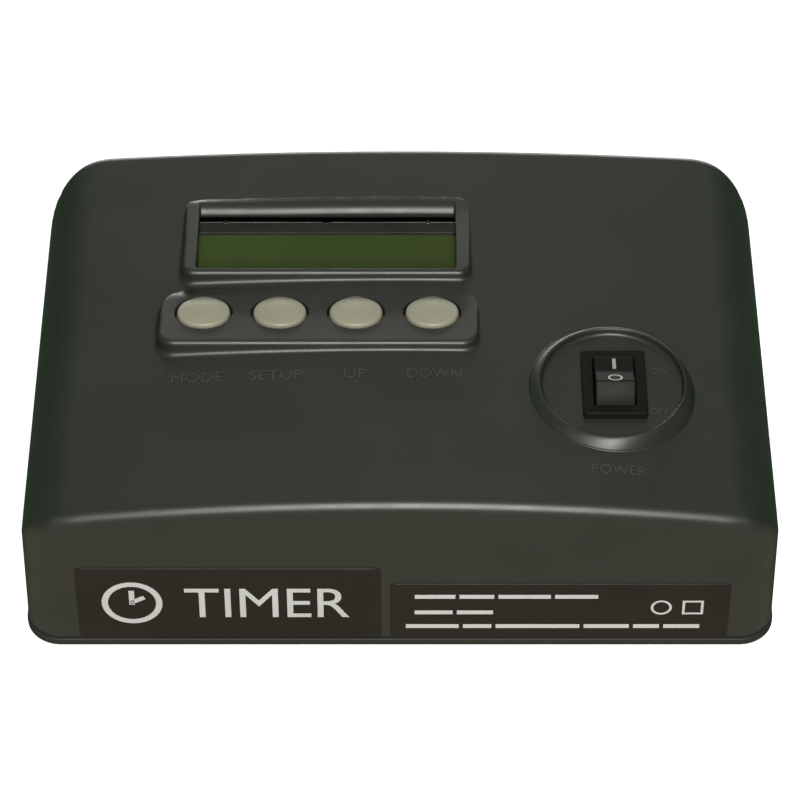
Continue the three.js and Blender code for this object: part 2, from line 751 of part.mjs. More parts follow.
function relayCase(x, y) {
  return prism(roundedShape(x - 9.5, x + 9.5, y - 7.8, y + 7.8, 0.8), ON_BOARD, ON_BOARD + 15.3, 3, 0.5);
}

function storageCapacitor(x, y) {
  return turned(
    [[0, ON_BOARD], [5, ON_BOARD], [5, ON_BOARD + 1.6], [4.6, ON_BOARD + 2.1], [5, ON_BOARD + 2.6],
      [5, ON_BOARD + 15.6], [4.5, ON_BOARD + 16], [0, ON_BOARD + 16]],
    x, y, 24,
  );
}

function controllerChip(x, y) {
  const pieces = [box(x - 11.5, x + 11.5, y - 3.2, y + 3.2, ON_BOARD + 0.6, ON_BOARD + 3.9)];
  for (let i = 0; i < 9; i += 1) {
    const legX = x - 10.16 + 2.54 * i;
    pieces.push(box(legX - 0.5, legX + 0.5, y - 3.9, y + 3.9, ON_BOARD, ON_BOARD + 1.9));
  }
  const under = box(x - 13, x + 13, y - 3, y + 3, ON_BOARD - 1, ON_BOARD + 0.6);
  return unionAll(pieces).subtract(under);
}

function supplyRegulator(x, y) {
  const body = box(x - 5, x + 5, y - 2.2, y + 2, ON_BOARD + 3.5, ON_BOARD + 12.5);
  const tab = box(x - 5, x + 5, y + 0.7, y + 2, ON_BOARD + 3.5, ON_BOARD + 18.8);
  const hole = lyingCylinder(x, ON_BOARD + 15.8, 1.8, y - 5, y + 5, 14);
  const legs = [-2.54, 0, 2.54].map((dx) => {
    return box(x + dx - 0.45, x + dx + 0.45, y - 0.9, y - 0.4, ON_BOARD, ON_BOARD + 5);
  });
  return body.add(tab).subtract(hole).add(unionAll(legs));
}

function terminalBlock(x, y) {
  let block = box(x - 12.5, x + 12.5, y - 4, y + 4, ON_BOARD, ON_BOARD + 8)
    .add(box(x - 12.5, x + 12.5, y - 2.4, y + 2.4, ON_BOARD + 7, ON_BOARD + 10));
  for (let i = 0; i < 5; i += 1) {
    const cx = x - 10 + 5 * i;
    block = block.subtract(uprightCylinder(cx, y, 1.6, ON_BOARD + 6.5, ON_BOARD + 14, 10));
    block = block.subtract(box(cx - 1.4, cx + 1.4, y + 2.4, y + 6, ON_BOARD + 1.5, ON_BOARD + 4.8));
  }
  return block;
}

function buzzerCase(x, y) {
  const can = turned(
    [[0, ON_BOARD], [6, ON_BOARD], [6, ON_BOARD + 8], [5.4, ON_BOARD + 8.5], [0, ON_BOARD + 8.5]], x, y, 24,
  );
  return can.subtract(uprightCylinder(x, y, 1.1, ON_BOARD + 5, ON_BOARD + 12, 12));
}

function ribbonCable() {
  const y = DISPLAY.y - DISPLAY.boardDepth / 2 + 3;
  const path = new THREE.CatmullRomCurve3([
    new THREE.Vector3(-36, y, DISPLAY.boardZ0 - 6),
    new THREE.Vector3(-36, y + 0.4, 28),
    new THREE.Vector3(-36, y + 4, 23),
    new THREE.Vector3(-36, y + 4.6, 18),
    new THREE.Vector3(-36, y + 2, ON_BOARD + 0.2),
  ]);
  const section = new THREE.Shape();
  section.moveTo(-10, -0.45);
  section.lineTo(10, -0.45);
  section.lineTo(10, 0.45);
  section.lineTo(-10, 0.45);
  section.lineTo(-10, -0.45);
  const geometry = new THREE.ExtrudeGeometry(section, { steps: 14, extrudePath: path, bevelEnabled: false });
  return toSolid(geometry);
}

// ---------------------------------------------------------------- rear connectors

function connectorBlock(x) {
  const c = CONNECTOR;
  const flange = box(
    x - c.flangeWidth / 2, x + c.flangeWidth / 2, c.flangeFront, c.rear,
    c.z - c.flangeHeight / 2, c.z + c.flangeHeight / 2,
  );
  const body = box(x - c.width / 2, x + c.width / 2, c.front, c.rear - 1, c.z - c.height / 2, c.z + c.height / 2);
  return flange.add(body);
}

// A hexagonal opening: a rectangle with its two upper corners cut away.
function socketHole(x, width, height, y0, y1) {
  const shape = new THREE.Shape();
  const cut = height * 0.28;
  shape.moveTo(-width / 2, -height / 2);
  shape.lineTo(width / 2, -height / 2);
  shape.lineTo(width / 2, height / 2 - cut);
  shape.lineTo(width / 2 - cut, height / 2);
  shape.lineTo(-width / 2 + cut, height / 2);
  shape.lineTo(-width / 2, height / 2 - cut);
  shape.lineTo(-width / 2, -height / 2);
  return prism(shape, -y1, -y0).rotate([90, 0, 0]).translate([x, 0, CONNECTOR.z]);
}

function pinPlaces(x) {
  return [
    { name: "line", x: x - 7, z: CONNECTOR.z - 2 },
    { name: "neutral", x: x + 7, z: CONNECTOR.z - 2 },
    { name: "earth", x, z: CONNECTOR.z + 2 },
  ];
}

function inletBody() {
  let body = connectorBlock(INLET_X).subtract(socketHole(INLET_X, 24.4, 16.6, 45.4, 70));
  pinPlaces(INLET_X).forEach(({ x, z }) => {
    body = body.subtract(box(x - 1.25, x + 1.25, 30, 60, z - 2.25, z + 2.25));
  });
  return body;
}

function inletPin(place) {
  return box(place.x - 1, place.x + 1, 31, 58.5, place.z - 2, place.z + 2);
}

function outletBody() {
  const ring = socketHole(OUTLET_X, 25.2, 17.4, 47, 70).subtract(socketHole(OUTLET_X, 21.4, 13.6, 40, 80));
  let body = connectorBlock(OUTLET_X).subtract(ring);
  pinPlaces(OUTLET_X).forEach(({ x, z }) => {
    const lower = z - 0.6;
    body = body.subtract(box(x - 1.3, x + 1.3, 46, 70, lower - 2.2, lower + 2.2));
  });
  return body;
}

function fuseHolder() {
  const z = CONNECTOR.z;
  return lyingCylinder(FUSE.x, z, FUSE.radius, FUSE.front, 60.4)
    .add(lyingCylinder(FUSE.x, z, FUSE.flangeRadius, 59.35, 61))
    .subtract(lyingCylinder(FUSE.x, z, FUSE.capRadius + 0.3, 57.5, 70))
    .subtract(lyingCylinder(FUSE.x, z, FUSE.linkRadius + 0.4, 33, 70, 16));
}

function fuseCap() {
  const z = CONNECTOR.z;
  return lyingCylinder(FUSE.x, z, FUSE.capRadius, 57.9, 62.2)
    .subtract(box(FUSE.x - 6, FUSE.x + 6, 61.2, 64, z - 0.7, z + 0.7));
}

function fuseLink() {
  const z = CONNECTOR.z;
  return lyingCylinder(FUSE.x, z, FUSE.linkRadius, 37.4, 42, 16)
    .add(lyingCylinder(FUSE.x, z, FUSE.linkRadius - 0.25, 41, 54, 16))
    .add(lyingCylinder(FUSE.x, z, FUSE.linkRadius, 53, 57.6, 16));
}

// ---------------------------------------------------------------- materials

function plastic(color, roughness) {
  return new THREE.MeshStandardMaterial({ color, roughness, metalness: 0 });
}

function metal(color, roughness) {
  return new THREE.MeshStandardMaterial({ color, roughness, metalness: 1 });
}

const caseGrey = () => plastic(0x3a3b37, 0.5);
const black = () => plastic(0x1f1d1a, 0.45);
const keyGrey = () => plastic(0xb4ada0, 0.5);
const rubber = () => plastic(0x151515, 0.9);
const steel = () => metal(0xb5b7b8, 0.35);
const brass = () => metal(0xc9a55a, 0.35);
const boardGreen = () => plastic(0x1f4a2c, 0.55);
const glassOlive = () => plastic(0x3e4a22, 0.15);

// ---------------------------------------------------------------- assembly

const group = new THREE.Group();

function addPiece(name, solid, material) {
  const mesh = new THREE.Mesh(toGeometry(solid), material);
  mesh.name = name;
  group.add(mesh);
}

function addCase() {
  addPiece("top_shell", topShell(), caseGrey());
  addPiece("base_plate", basePlate(), caseGrey());
  const sides = [["front", -1], ["rear", 1]];
  const hands = [["left", -1], ["right", 1]];
  sides.forEach(([side, sy]) => {
    hands.forEach(([hand, sx]) => {
      addPiece(`foot_${side}_${hand}`, foot(sx * FOOT.x, sy * FOOT.y), rubber());
      const screw = crossHeadScrew(sx * CASE_SCREW.x, sy * CASE_SCREW.y, 3.1, 2.8, 2, 1.45, 19);
      addPiece(`case_screw_${side}_${hand}`, screw, steel());
    });
  });
  addPiece("front_badge", labelPlate(BADGE), black());
  addPiece("rating_label", labelPlate(RATING), black());
}

function addDisplay() {
  const d = DISPLAY;
  addPiece("display_bezel", displayBezel(), metal(0x2a2925, 0.4));
  addPiece("display_glass", displaySlab(34.6, 11.6, 44.4, 46.7), glassOlive());
  addPiece("display_backlight", displaySlab(34.4, 11.4, 41.1, 44.1), plastic(0xe6e6dc, 0.5));
  addPiece("display_board", displayBoard(), boardGreen());
  addPiece("display_pins", displayPins(), black());
  displayPostCentres().forEach(([x, y], index) => {
    const screw = crossHeadScrew(x, y, d.boardZ0 - 1.7, 2.2, 1.5, 1.05, 44.9);
    addPiece(`display_screw_${index + 1}`, screw, steel());
  });
}

function addKeys() {
  keyCentres().forEach(({ name, x }) => {
    addPiece(`key_cap_${name}`, keyCap(x), keyGrey());
    addPiece(`key_switch_${name}`, keySwitch(x), black());
    addPiece(`key_plunger_${name}`, keyPlunger(x), black());
  });
  addPiece("key_board", keyBoard(), boardGreen());
  KEY_BOARD.screwX.forEach((x, index) => {
    const screw = crossHeadScrew(x, KEY_BOARD.screwY, KEY_BOARD.z0 - 1.7, 2.2, 1.5, 1.05, 44.9);
    addPiece(`key_screw_${index + 1}`, screw, steel());
  });
}

function addRocker() {
  addPiece("rocker_housing", rockerHousing(), black());
  addPiece("rocker_cap", rockerCap(), black());
  addPiece("rocker_lever", rockerLever(), brass());
  addPiece("rocker_terminal_feed", rockerTerminal(terminalPlaces()[0], LEVER_Z - 1), brass());
  addPiece("rocker_terminal_load", rockerTerminal(terminalPlaces()[1], LEVER_Z - 2.2), brass());
}

function addMainBoard() {
  addPiece("main_board", mainBoard(), boardGreen());
  addPiece("transformer_core", transformerCore(-56, -32), metal(0x6a6c6e, 0.6));
  addPiece("transformer_bobbin", transformerBobbin(-56, -32), plastic(0xb98a3a, 0.5));
  addPiece("relay", relayCase(14, -32), plastic(0x24406b, 0.45));
  addPiece("storage_capacitor", storageCapacitor(-28, -38), plastic(0x22283a, 0.4));
  addPiece("controller_chip", controllerChip(-14, -14), black());
  addPiece("supply_regulator", supplyRegulator(-8, -40), black());
  addPiece("terminal_block", terminalBlock(6, 18), plastic(0x2b7a45, 0.5));
  addPiece("buzzer", buzzerCase(-62, 4), black());
  addPiece("ribbon_cable", ribbonCable(), plastic(0x9a9a98, 0.6));
}

function addRear() {
  addPiece("inlet_body", inletBody(), black());
  pinPlaces(INLET_X).forEach((place) => {
    addPiece(`inlet_pin_${place.name}`, inletPin(place), brass());
  });
  addPiece("outlet_body", outletBody(), black());
  addPiece("fuse_holder", fuseHolder(), black());
  addPiece("fuse_cap", fuseCap(), black());
  addPiece("fuse_link", fuseLink(), steel());
}

addCase();
addDisplay();
addKeys();
addRocker();
addMainBoard();
addRear();

export default group;
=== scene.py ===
"""Desktop darkroom timer box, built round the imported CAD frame. Lengths below are in millimetres."""
import json
import math

import bmesh
import bpy
import numpy as np
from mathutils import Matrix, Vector
from mathutils.geometry import delaunay_2d_cdt, tessellate_polygon


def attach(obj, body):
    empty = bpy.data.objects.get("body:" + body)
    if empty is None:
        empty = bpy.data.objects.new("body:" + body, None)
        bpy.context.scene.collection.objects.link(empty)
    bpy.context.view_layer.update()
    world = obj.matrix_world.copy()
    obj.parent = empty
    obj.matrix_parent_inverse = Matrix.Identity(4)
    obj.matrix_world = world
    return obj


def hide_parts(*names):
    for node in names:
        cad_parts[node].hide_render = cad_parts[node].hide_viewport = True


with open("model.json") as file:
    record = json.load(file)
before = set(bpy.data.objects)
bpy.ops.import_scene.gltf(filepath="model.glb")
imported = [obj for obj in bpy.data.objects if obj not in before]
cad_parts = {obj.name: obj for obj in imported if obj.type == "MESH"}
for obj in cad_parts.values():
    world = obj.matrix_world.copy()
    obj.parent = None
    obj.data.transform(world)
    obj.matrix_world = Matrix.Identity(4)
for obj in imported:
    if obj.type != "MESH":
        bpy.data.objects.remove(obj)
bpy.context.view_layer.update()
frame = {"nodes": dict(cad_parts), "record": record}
MM = 0.001

# ---- sizes shared with the CAD

WIDTH, DEPTH, TOP, BASE_Z = 179.3, 126.2, 50.7, 2.5
DRAFT = math.tan(math.radians(0.97))
CROWN_FRONT, CROWN_REAR = 628.0, 1083.0
SHOULDER, FRONT_CORNER, REAR_CORNER, EDGE = 13.6, 8.6, 15.8, 2.84
SHELL_BOTTOM, SHOULDER_START = 5.0, 30.0
PAD_TOP, PAD_REAR, PAD_UNDER = 53.1, 50.2, 48.5
# Each pad: x0, x1, y0, y1, then its front and rear corner radius.
DISPLAY_PAD = (-53.7, 17.4, 13.3, 43.6, 3.0, 4.0)
KEY_PAD = (-58.6, 19.0, -11.1, 11.6, 4.0, 9.0)
# A pad's top falls from PAD_TOP to PAD_REAR over its slope run, and meets the crowned top over its roll.
SLOPE_RUN = {DISPLAY_PAD: 29.2, KEY_PAD: 22.7}
PAD_ROLL = {DISPLAY_PAD: 1.8, KEY_PAD: 4.0}
PAD_RUNS = (16, 48)
DISPLAY_OPENING = (-50.2, 13.8, 15.0, 38.1)
KEY_XS = {"mode": -47.7, "setup": -29.2, "up": -10.7, "down": 7.8}
KEY_Y, KEY_W, KEY_D, KEY_GAP, KEY_SIDE = 0.8, 12.9, 11.5, 0.55, 52.1
RING_X, RING_Y, RING_OUT, RING_IN, RING_FLOOR, RING_TOP = 50.6, -22.8, 19.7, 17.0, 50.1, 52.0
RING_OVAL, RING_DROP = 1.03, 0.6
ROCKER_X, ROCKER_Y, FLANGE_TOP = 51.0, -23.15, 52.15
PIVOT_Z, TILT = 49.65, math.radians(12)
CAP_RADIUS, CAP_CORNER, CAP_VALLEY, CAP_HALF = 7.75, math.radians(47.5), 4.74, 4.6
DISPLAY_X, DISPLAY_Y, BEZEL_TOP = -18.4, 25.0, 47.6
# The rear recess: x0, x1, z0, z1, and the y of its floor.
RECESS = (-62.5, 44.5, 9.0, 43.0)
RECESS_FLOOR = 59.2
# Inset of the top's grid, depth of a raised foot in the top, height of print on the front.
RIM, SINK, PRINT_PROUD = 17.0, 0.03, 0.235


# ---- case skin

def crown_radius(y):
    return CROWN_FRONT + (CROWN_REAR - CROWN_FRONT) * (y / DEPTH + 0.5)


def crown_height(x, y):
    """Height of the crowned top at a point away from its edges."""
    radius = crown_radius(y)
    return TOP - radius + np.sqrt(radius ** 2 - x ** 2)


def skin_field(x, y, z):
    """Negative inside the case skin and positive outside it."""
    lean = (z - BASE_Z) * DRAFT
    corner = np.where(y < 0, FRONT_CORNER, REAR_CORNER)
    over_x = np.abs(x) - (WIDTH / 2 - lean) + corner
    over_y = np.abs(y) - (DEPTH / 2 - lean) + corner
    reach = np.hypot(np.maximum(over_x, 0), np.maximum(over_y, 0))
    around = reach + np.minimum(np.maximum(over_x, over_y), 0) - corner
    tiny = 1e-9
    sideways = np.where(reach > tiny, np.maximum(over_x, 0) / np.maximum(reach, tiny), over_x > over_y)
    crown = crown_radius(y)
    shoulder_x = WIDTH / 2 - (SHOULDER_START - BASE_Z) * DRAFT - SHOULDER
    crown_z = TOP - crown
    shoulder_z = crown_z + np.sqrt((crown - SHOULDER) ** 2 - shoulder_x ** 2)
    turn = np.arctan2(shoulder_x, shoulder_z - crown_z)
    from_crown = np.hypot(x, z - crown_z)
    dx, dz = np.abs(x) - shoulder_x, z - shoulder_z
    bend = np.hypot(dx, dz)
    past = np.arctan2(np.abs(x), z - crown_z) > turn
    beside = np.where(dz > 0, bend - SHOULDER, np.abs(x) - WIDTH / 2 + lean)
    above = np.where(past, beside, from_crown - crown)
    leaning = np.where(dz > 0, np.maximum(dx, 0) / np.maximum(bend, tiny), 1.0)
    tipped = np.where(past, leaning, np.abs(x) / from_crown)
    edge = EDGE * (1 - tipped * sideways) + 1e-6
    a, b = np.maximum(edge + above, 0), np.maximum(edge + around, 0)
    return np.minimum(-edge, np.maximum(above, around)) + np.hypot(a, b)


def reach_skin(start, direction):
    """Where rays from inside meet the skin."""
    near, far = np.zeros(len(start)), np.full(len(start), 80.0)
    for _ in range(38):
        middle = (near + far) / 2
        p = start + direction * middle[:, None]
        inside = skin_field(p[:, 0], p[:, 1], p[:, 2]) < 0
        near, far = np.where(inside, middle, near), np.where(inside, far, middle)
    return start + direction * near[:, None]


# ---- mesh helpers

class Sheet:
    """Vertices and faces of one piece, gathered before they become a mesh."""

    def __init__(self):
        self.verts, self.faces, self.marks = [], [], []
        self.mark = 0

    def add(self, points):
        start = len(self.verts)
        self.verts.extend([tuple(float(c) for c in p) for p in points])
        return list(range(start, len(self.verts)))

    def face(self, corners):
        if len(set(corners)) > 2:
            self.faces.append(tuple(corners))
            self.marks.append(self.mark)

    def bridge(self, low, high, closed=True):
        """Quads between two loops of equal length.

        Faces look right of the way the loops run, with high above.
        """
        count = len(low)
        for i in range(count if closed else count - 1):
            j = (i + 1) % count
            self.face((low[i], low[j], high[j], high[i]))

    def fill(self, loops, flip=False):
        """Triangles over a flat area inside the first loop and outside the others."""
        flat = [index for loop in loops for index in loop]
        for tri in tessellate_polygon([[Vector(self.verts[i]) for i in loop] for loop in loops]):
            corners = [flat[k] for k in tri]
            a, b, c = (Vector(self.verts[i]) for i in corners)
            normal = (b - a).cross(c - a)
            side = normal[max(range(3), key=lambda k: abs(normal[k]))]
            if (side < 0) != flip:
                corners.reverse()
            self.face(corners)

    def fill_shaped(self, loops, height, step=1.4):
        """Fills a curved area inside the first loop and outside the others.

        Extra points stand on a grid of step, at height(x, y).
        """
        outlines = [np.array([self.verts[i][:2] for i in loop]) for loop in loops]
        ids = [i for loop in loops for i in loop]
        points = [Vector(point) for outline in outlines for point in outline.tolist()]
        edges, start = [], 0
        for loop in loops:
            edges += [(start + k, start + (k + 1) % len(loop)) for k in range(len(loop))]
            start += len(loop)
        everything = np.concatenate(outlines)
        (x0, y0), (x1, y1) = outlines[0].min(0), outlines[0].max(0)
        extra = []
        for x in np.arange(x0 + step / 2, x1, step):
            for y in np.arange(y0 + step / 2, y1, step):
                near = np.abs(everything - (x, y)).max(1).min()
                if near > step * 0.4 and self.kept(outlines, x, y):
                    extra.append((x, y))
        ids += self.add([(x, y, height(x, y)) for x, y in extra])
        points += [Vector(point) for point in extra]
        _, _, triangles, origins, _, _ = delaunay_2d_cdt(points, edges, [], 0, 1e-6)
        for triangle in triangles:
            corners = [origins[k][0] for k in triangle]
            middle = sum((points[k] for k in corners), Vector((0, 0))) / 3
            if self.kept(outlines, middle.x, middle.y):
                self.face([ids[k] for k in corners])

    @staticmethod
    def kept(outlines, x, y):
        """True for a point inside the first outline and outside the rest."""
        inside = []
        for outline in outlines:
            a, b = outline, np.roll(outline, -1, 0)
            crosses = (a[:, 1] > y) != (b[:, 1] > y)
            rise = np.where(crosses, b[:, 1] - a[:, 1], 1.0)
            left = x < a[:, 0] + (y - a[:, 1]) / rise * (b[:, 0] - a[:, 0])
            inside.append(int((crosses & left).sum()) % 2 == 1)
        return inside[0] and not any(inside[1:])

    def join(self, rows, closed=True):
        """Bridges each row of indices to the next, and returns the rows."""
        for low, high in zip(rows, rows[1:]):
            self.bridge(low, high, closed)
        return rows

    def stack(self, loops, closed=True):
        """Adds several loops and bridges each to the next. Returns the index lists."""
        return self.join([self.add(loop) for loop in loops], closed)

    def piece(self, name, materials, body, nodes=(), slot=None, angle=35, weld=0.002):
        mesh = bpy.data.meshes.new(name)
        mesh.from_pydata([tuple(c * MM for c in v) for v in self.verts], [], self.faces)
        for material in materials:
            mesh.materials.append(MATERIALS[material])
        mesh.polygons.foreach_set("material_index", self.marks)
        obj = new_object(name, mesh)
        weld_and_smooth(obj, weld, angle)
        finish_piece(obj, body, nodes)
        return obj


def new_object(name, data):
    obj = bpy.data.objects.new(name, data)
    bpy.context.scene.collection.objects.link(obj)
    return obj


def weld_and_smooth(obj, weld, angle):
    bm = bmesh.new()
    bm.from_mesh(obj.data)
    if weld:
        bmesh.ops.remove_doubles(bm, verts=bm.verts, dist=weld * MM)
    limit = math.radians(angle)
    for f in bm.faces:
        f.smooth = True
    for e in bm.edges:
        e.smooth = not (len(e.link_faces) == 2 and e.calc_face_angle(0) > limit)
    bm.to_mesh(obj.data)
    bm.free()


def finish_piece(obj, body, nodes):
    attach(obj, body)
    if nodes:
        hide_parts(*nodes)


def quarter(steps, first=0):
    """Angles from 0 to 90 degrees in equal steps."""
    return [math.radians(90 * k / steps) for k in range(first, steps + 1)]


def rounded_loop(x0, x1, y0, y1, front, rear=None, steps=10, z=0.0, runs=None):
    """A rounded rectangle, anticlockwise from above, starting at its front right corner.

    runs gives how many pieces the sides and the front and rear edges are cut into.
    """
    rear = front if rear is None else rear
    points = []
    for cx, cy, r, begin in (
            (x1 - front, y0 + front, front, -90), (x1 - rear, y1 - rear, rear, 0),
            (x0 + rear, y1 - rear, rear, 90), (x0 + front, y0 + front, front, 180)):
        for k in range(steps + 1):
            t = math.radians(begin + 90 * k / steps)
            points.append((cx + r * math.cos(t), cy + r * math.sin(t), z))
    if not runs:
        return points
    fine = []
    for index, point in enumerate(points):
        fine.append(point)
        if index % (steps + 1) == steps:
            after = points[(index + 1) % len(points)]
            count = runs[(index // (steps + 1)) % 2]
            for k in range(1, count):
                fine.append(tuple(a + (b - a) * k / count for a, b in zip(point, after)))
    return fine


def inset_loop(x0, x1, y0, y1, front, rear, inset, z, steps=10, runs=None):
    """The rounded rectangle moved in by inset, with its corner radii following."""
    return rounded_loop(
        x0 + inset, x1 - inset, y0 + inset, y1 - inset,
        max(front - inset, 0.02), max(rear - inset, 0.02), steps, z, runs)


def about(x, y, half_x, half_y, radius, z, steps=8):
    """A rounded rectangle about a centre."""
    return rounded_loop(x - half_x, x + half_x, y - half_y, y + half_y, radius, None, steps, z)


def oval_loop(x, y, width, depth, z, steps=64):
    return [(x + width / 2 * math.cos(2 * math.pi * k / steps),
             y + depth / 2 * math.sin(2 * math.pi * k / steps), z) for k in range(steps)]


def circle_loop(x, y, radius, z, steps=64):
    return oval_loop(x, y, 2 * radius, 2 * radius, z, steps)


# ---- materials

def new_material(name):
    material = bpy.data.materials.new(name)
    material.use_nodes = True
    tree = material.node_tree
    shader = tree.nodes["Principled BSDF"]
    where = tree.nodes.new("ShaderNodeTexCoord").outputs["Object"]
    return material, tree, shader, where


def set_inputs(node, values):
    for key, value in values.items():
        node.inputs[key].default_value = value


def noise(tree, where, scale, detail=3.0):
    node = tree.nodes.new("ShaderNodeTexNoise")
    set_inputs(node, {"Scale": scale, "Detail": detail})
    tree.links.new(where, node.inputs["Vector"])
    return node.outputs["Fac"]


def ramp(tree, factor, low, high, start=0.35, end=0.65):
    node = tree.nodes.new("ShaderNodeValToRGB")
    first, last = node.color_ramp.elements
    first.position, last.position = start, end
    first.color, last.color = (*low, 1), (*high, 1)
    tree.links.new(factor, node.inputs["Fac"])
    return node.outputs["Color"]


def spread(tree, factor, low, high):
    node = tree.nodes.new("ShaderNodeMapRange")
    set_inputs(node, {"From Min": 0.3, "From Max": 0.7, "To Min": low, "To Max": high})
    tree.links.new(factor, node.inputs["Value"])
    return node.outputs["Result"]


def bump(tree, shader, height, distance):
    node = tree.nodes.new("ShaderNodeBump")
    node.inputs["Distance"].default_value = distance * MM
    tree.links.new(height, node.inputs["Height"])
    tree.links.new(node.outputs["Normal"], shader.inputs["Normal"])


def gloss(tree, shader, where, scale, rough):
    """Uneven roughness between the two values of rough."""
    tree.links.new(spread(tree, noise(tree, where, scale), *rough), shader.inputs["Roughness"])


def plastic(name, low, high, rough, grain, level):
    """Moulded plastic: slow colour drift, uneven gloss and a fine moulded grain."""
    material, tree, shader, where = new_material(name)
    drift = noise(tree, where, 38, 4)
    tree.links.new(ramp(tree, drift, low, high), shader.inputs["Base Color"])
    gloss(tree, shader, where, 160, rough)
    shader.inputs["Specular IOR Level"].default_value = level
    if grain:
        bump(tree, shader, noise(tree, where, 2600, 2), grain)
    return material


def metal(name, low, high, rough, grain, scale):
    """Bare metal: slow colour drift, uneven gloss and a fine grain."""
    material, tree, shader, where = new_material(name)
    tree.links.new(ramp(tree, noise(tree, where, 90, 4), low, high), shader.inputs["Base Color"])
    gloss(tree, shader, where, 400, rough)
    shader.inputs["Metallic"].default_value = 1.0
    bump(tree, shader, noise(tree, where, scale, 2), grain)
    return material


def grey(value):
    return value, value, value


# Slot: name, darker and paler colour, gloss range, grain, reflection level.
MOULDED = {
    "case_plastic": (
        "case plastic", (0.0185, 0.0197, 0.017), (0.0215, 0.0227, 0.0195), (0.35, 0.41), 0.004, 0.5),
    # The legends are paler than the case they are moulded in: a painted highlight, standing for glints on
    # the letters.
    "legend_painted_highlight": (
        "legend plastic painted lighter", (0.036, 0.037, 0.034), (0.042, 0.043, 0.039), (0.34, 0.4), 0.004, 0.5),
    "base_plastic": (
        "base plastic", (0.021, 0.0212, 0.019), (0.024, 0.0242, 0.0215), (0.5, 0.56), 0.004, 0.25),
    "foot_rubber": ("foot rubber", grey(0.012), grey(0.02), (0.75, 0.9), 0.03, 0.3),
    "label_film": (
        "label film", (0.0125, 0.0105, 0.0085), (0.0155, 0.013, 0.0105), (0.42, 0.5), 0.003, 0.25),
    "label_print": ("label print", grey(0.5), grey(0.56), (0.45, 0.55), 0.0, 0.5),
    "bezel_metal": (
        "black painted sheet", (0.010, 0.0095, 0.007), (0.016, 0.015, 0.011), (0.3, 0.42), 0.004, 0.4),
    "backlight_plastic": ("light guide", (0.7, 0.71, 0.68), (0.78, 0.79, 0.75), (0.2, 0.3), 0.0, 0.5),
    "black_plastic": ("black moulding", grey(0.009), grey(0.014), (0.4, 0.55), 0.006, 0.5),
    "key_plastic": ("key plastic", (0.272, 0.257, 0.193), (0.292, 0.277, 0.213), (0.38, 0.45), 0.004, 0.45),
    "rocker_plastic": (
        "rocker plastic", (0.0045, 0.0043, 0.0035), (0.0055, 0.0053, 0.0043), (0.62, 0.7), 0.003, 0.15),
    "rocker_sign": ("rocker sign", (0.27, 0.29, 0.26), (0.33, 0.35, 0.32), (0.4, 0.5), 0.0, 0.5),
    # The rocker's end faces get a paler, browner colour than the rest: painted sheen, standing for the
    # reflection of the warm foreground.
    "rocker_painted_sheen": (
        "rocker face painted sheen", (0.010, 0.009, 0.0072), (0.016, 0.0142, 0.0112), (0.62, 0.72), 0.003, 0.25),
    "winding_tape": ("winding tape", (0.4, 0.25, 0.03), (0.5, 0.32, 0.05), (0.3, 0.45), 0.004, 0.5),
    "relay_plastic": ("relay case", (0.012, 0.035, 0.12), (0.018, 0.045, 0.15), (0.25, 0.35), 0.0, 0.5),
    "capacitor_sleeve": (
        "capacitor sleeve", (0.01, 0.012, 0.035), (0.015, 0.018, 0.05), (0.25, 0.35), 0.0, 0.5),
    "terminal_plastic": (
        "terminal block", (0.015, 0.14, 0.045), (0.02, 0.17, 0.06), (0.35, 0.45), 0.003, 0.5),
    "ribbon_sleeve": ("ribbon sleeve", (0.25, 0.25, 0.24), (0.35, 0.35, 0.33), (0.5, 0.6), 0.004, 0.5),
    "connector_plastic": ("connector moulding", grey(0.008), grey(0.012), (0.22, 0.34), 0.003, 0.5),
}
# Slot: name, darker and paler colour, gloss range, grain and the grain's scale.
METALS = {
    "screw_steel": ("zinc steel", (0.45, 0.46, 0.47), (0.6, 0.61, 0.62), (0.25, 0.4), 0.004, 900),
    # Paler bare metal for the display frame's rear rib and tongues: a painted highlight along the frame's
    # rear edge.
    "bezel_painted_highlight": ("sheet edge painted highlight", (0.05, 0.048, 0.045), (0.09, 0.086, 0.08), (0.42, 0.55), 0.004, 900),
    "contact_brass": ("stamped brass", (0.5, 0.36, 0.15), (0.62, 0.46, 0.2), (0.25, 0.4), 0.004, 900),
    "core_steel": (
        "varnished laminations", (0.09, 0.09, 0.095), (0.16, 0.16, 0.165), (0.4, 0.6), 0.01, 2000),
}
MATERIALS = {slot: plastic(*look) for slot, look in MOULDED.items()}
MATERIALS.update({slot: metal(*look) for slot, look in METALS.items()})


def board_material():
    """Green solder mask over a faint pattern of tracks."""
    material, tree, shader, where = new_material("board laminate")
    brick = tree.nodes.new("ShaderNodeTexBrick")
    set_inputs(brick, {
        "Scale": 260, "Color1": (0.012, 0.085, 0.025, 1), "Color2": (0.016, 0.10, 0.03, 1),
        "Mortar": (0.008, 0.055, 0.018, 1), "Mortar Size": 0.03})
    tree.links.new(where, brick.inputs["Vector"])
    tree.links.new(brick.outputs["Color"], shader.inputs["Base Color"])
    gloss(tree, shader, where, 200, (0.25, 0.4))
    bump(tree, shader, noise(tree, where, 1500, 2), 0.004)
    return material


def glass_material():
    """Unlit display glass: olive, glossy and slightly uneven."""
    material, tree, shader, where = new_material("display glass")
    olive = ramp(tree, noise(tree, where, 30, 2), (0.029, 0.049, 0.0075), (0.035, 0.058, 0.0095))
    tree.links.new(olive, shader.inputs["Base Color"])
    gloss(tree, shader, where, 120, (0.16, 0.22))
    shader.inputs["Specular IOR Level"].default_value = 0.26
    return material


MATERIALS["board_laminate"] = board_material()
MATERIALS["display_glass"] = glass_material()


# ---- top shell

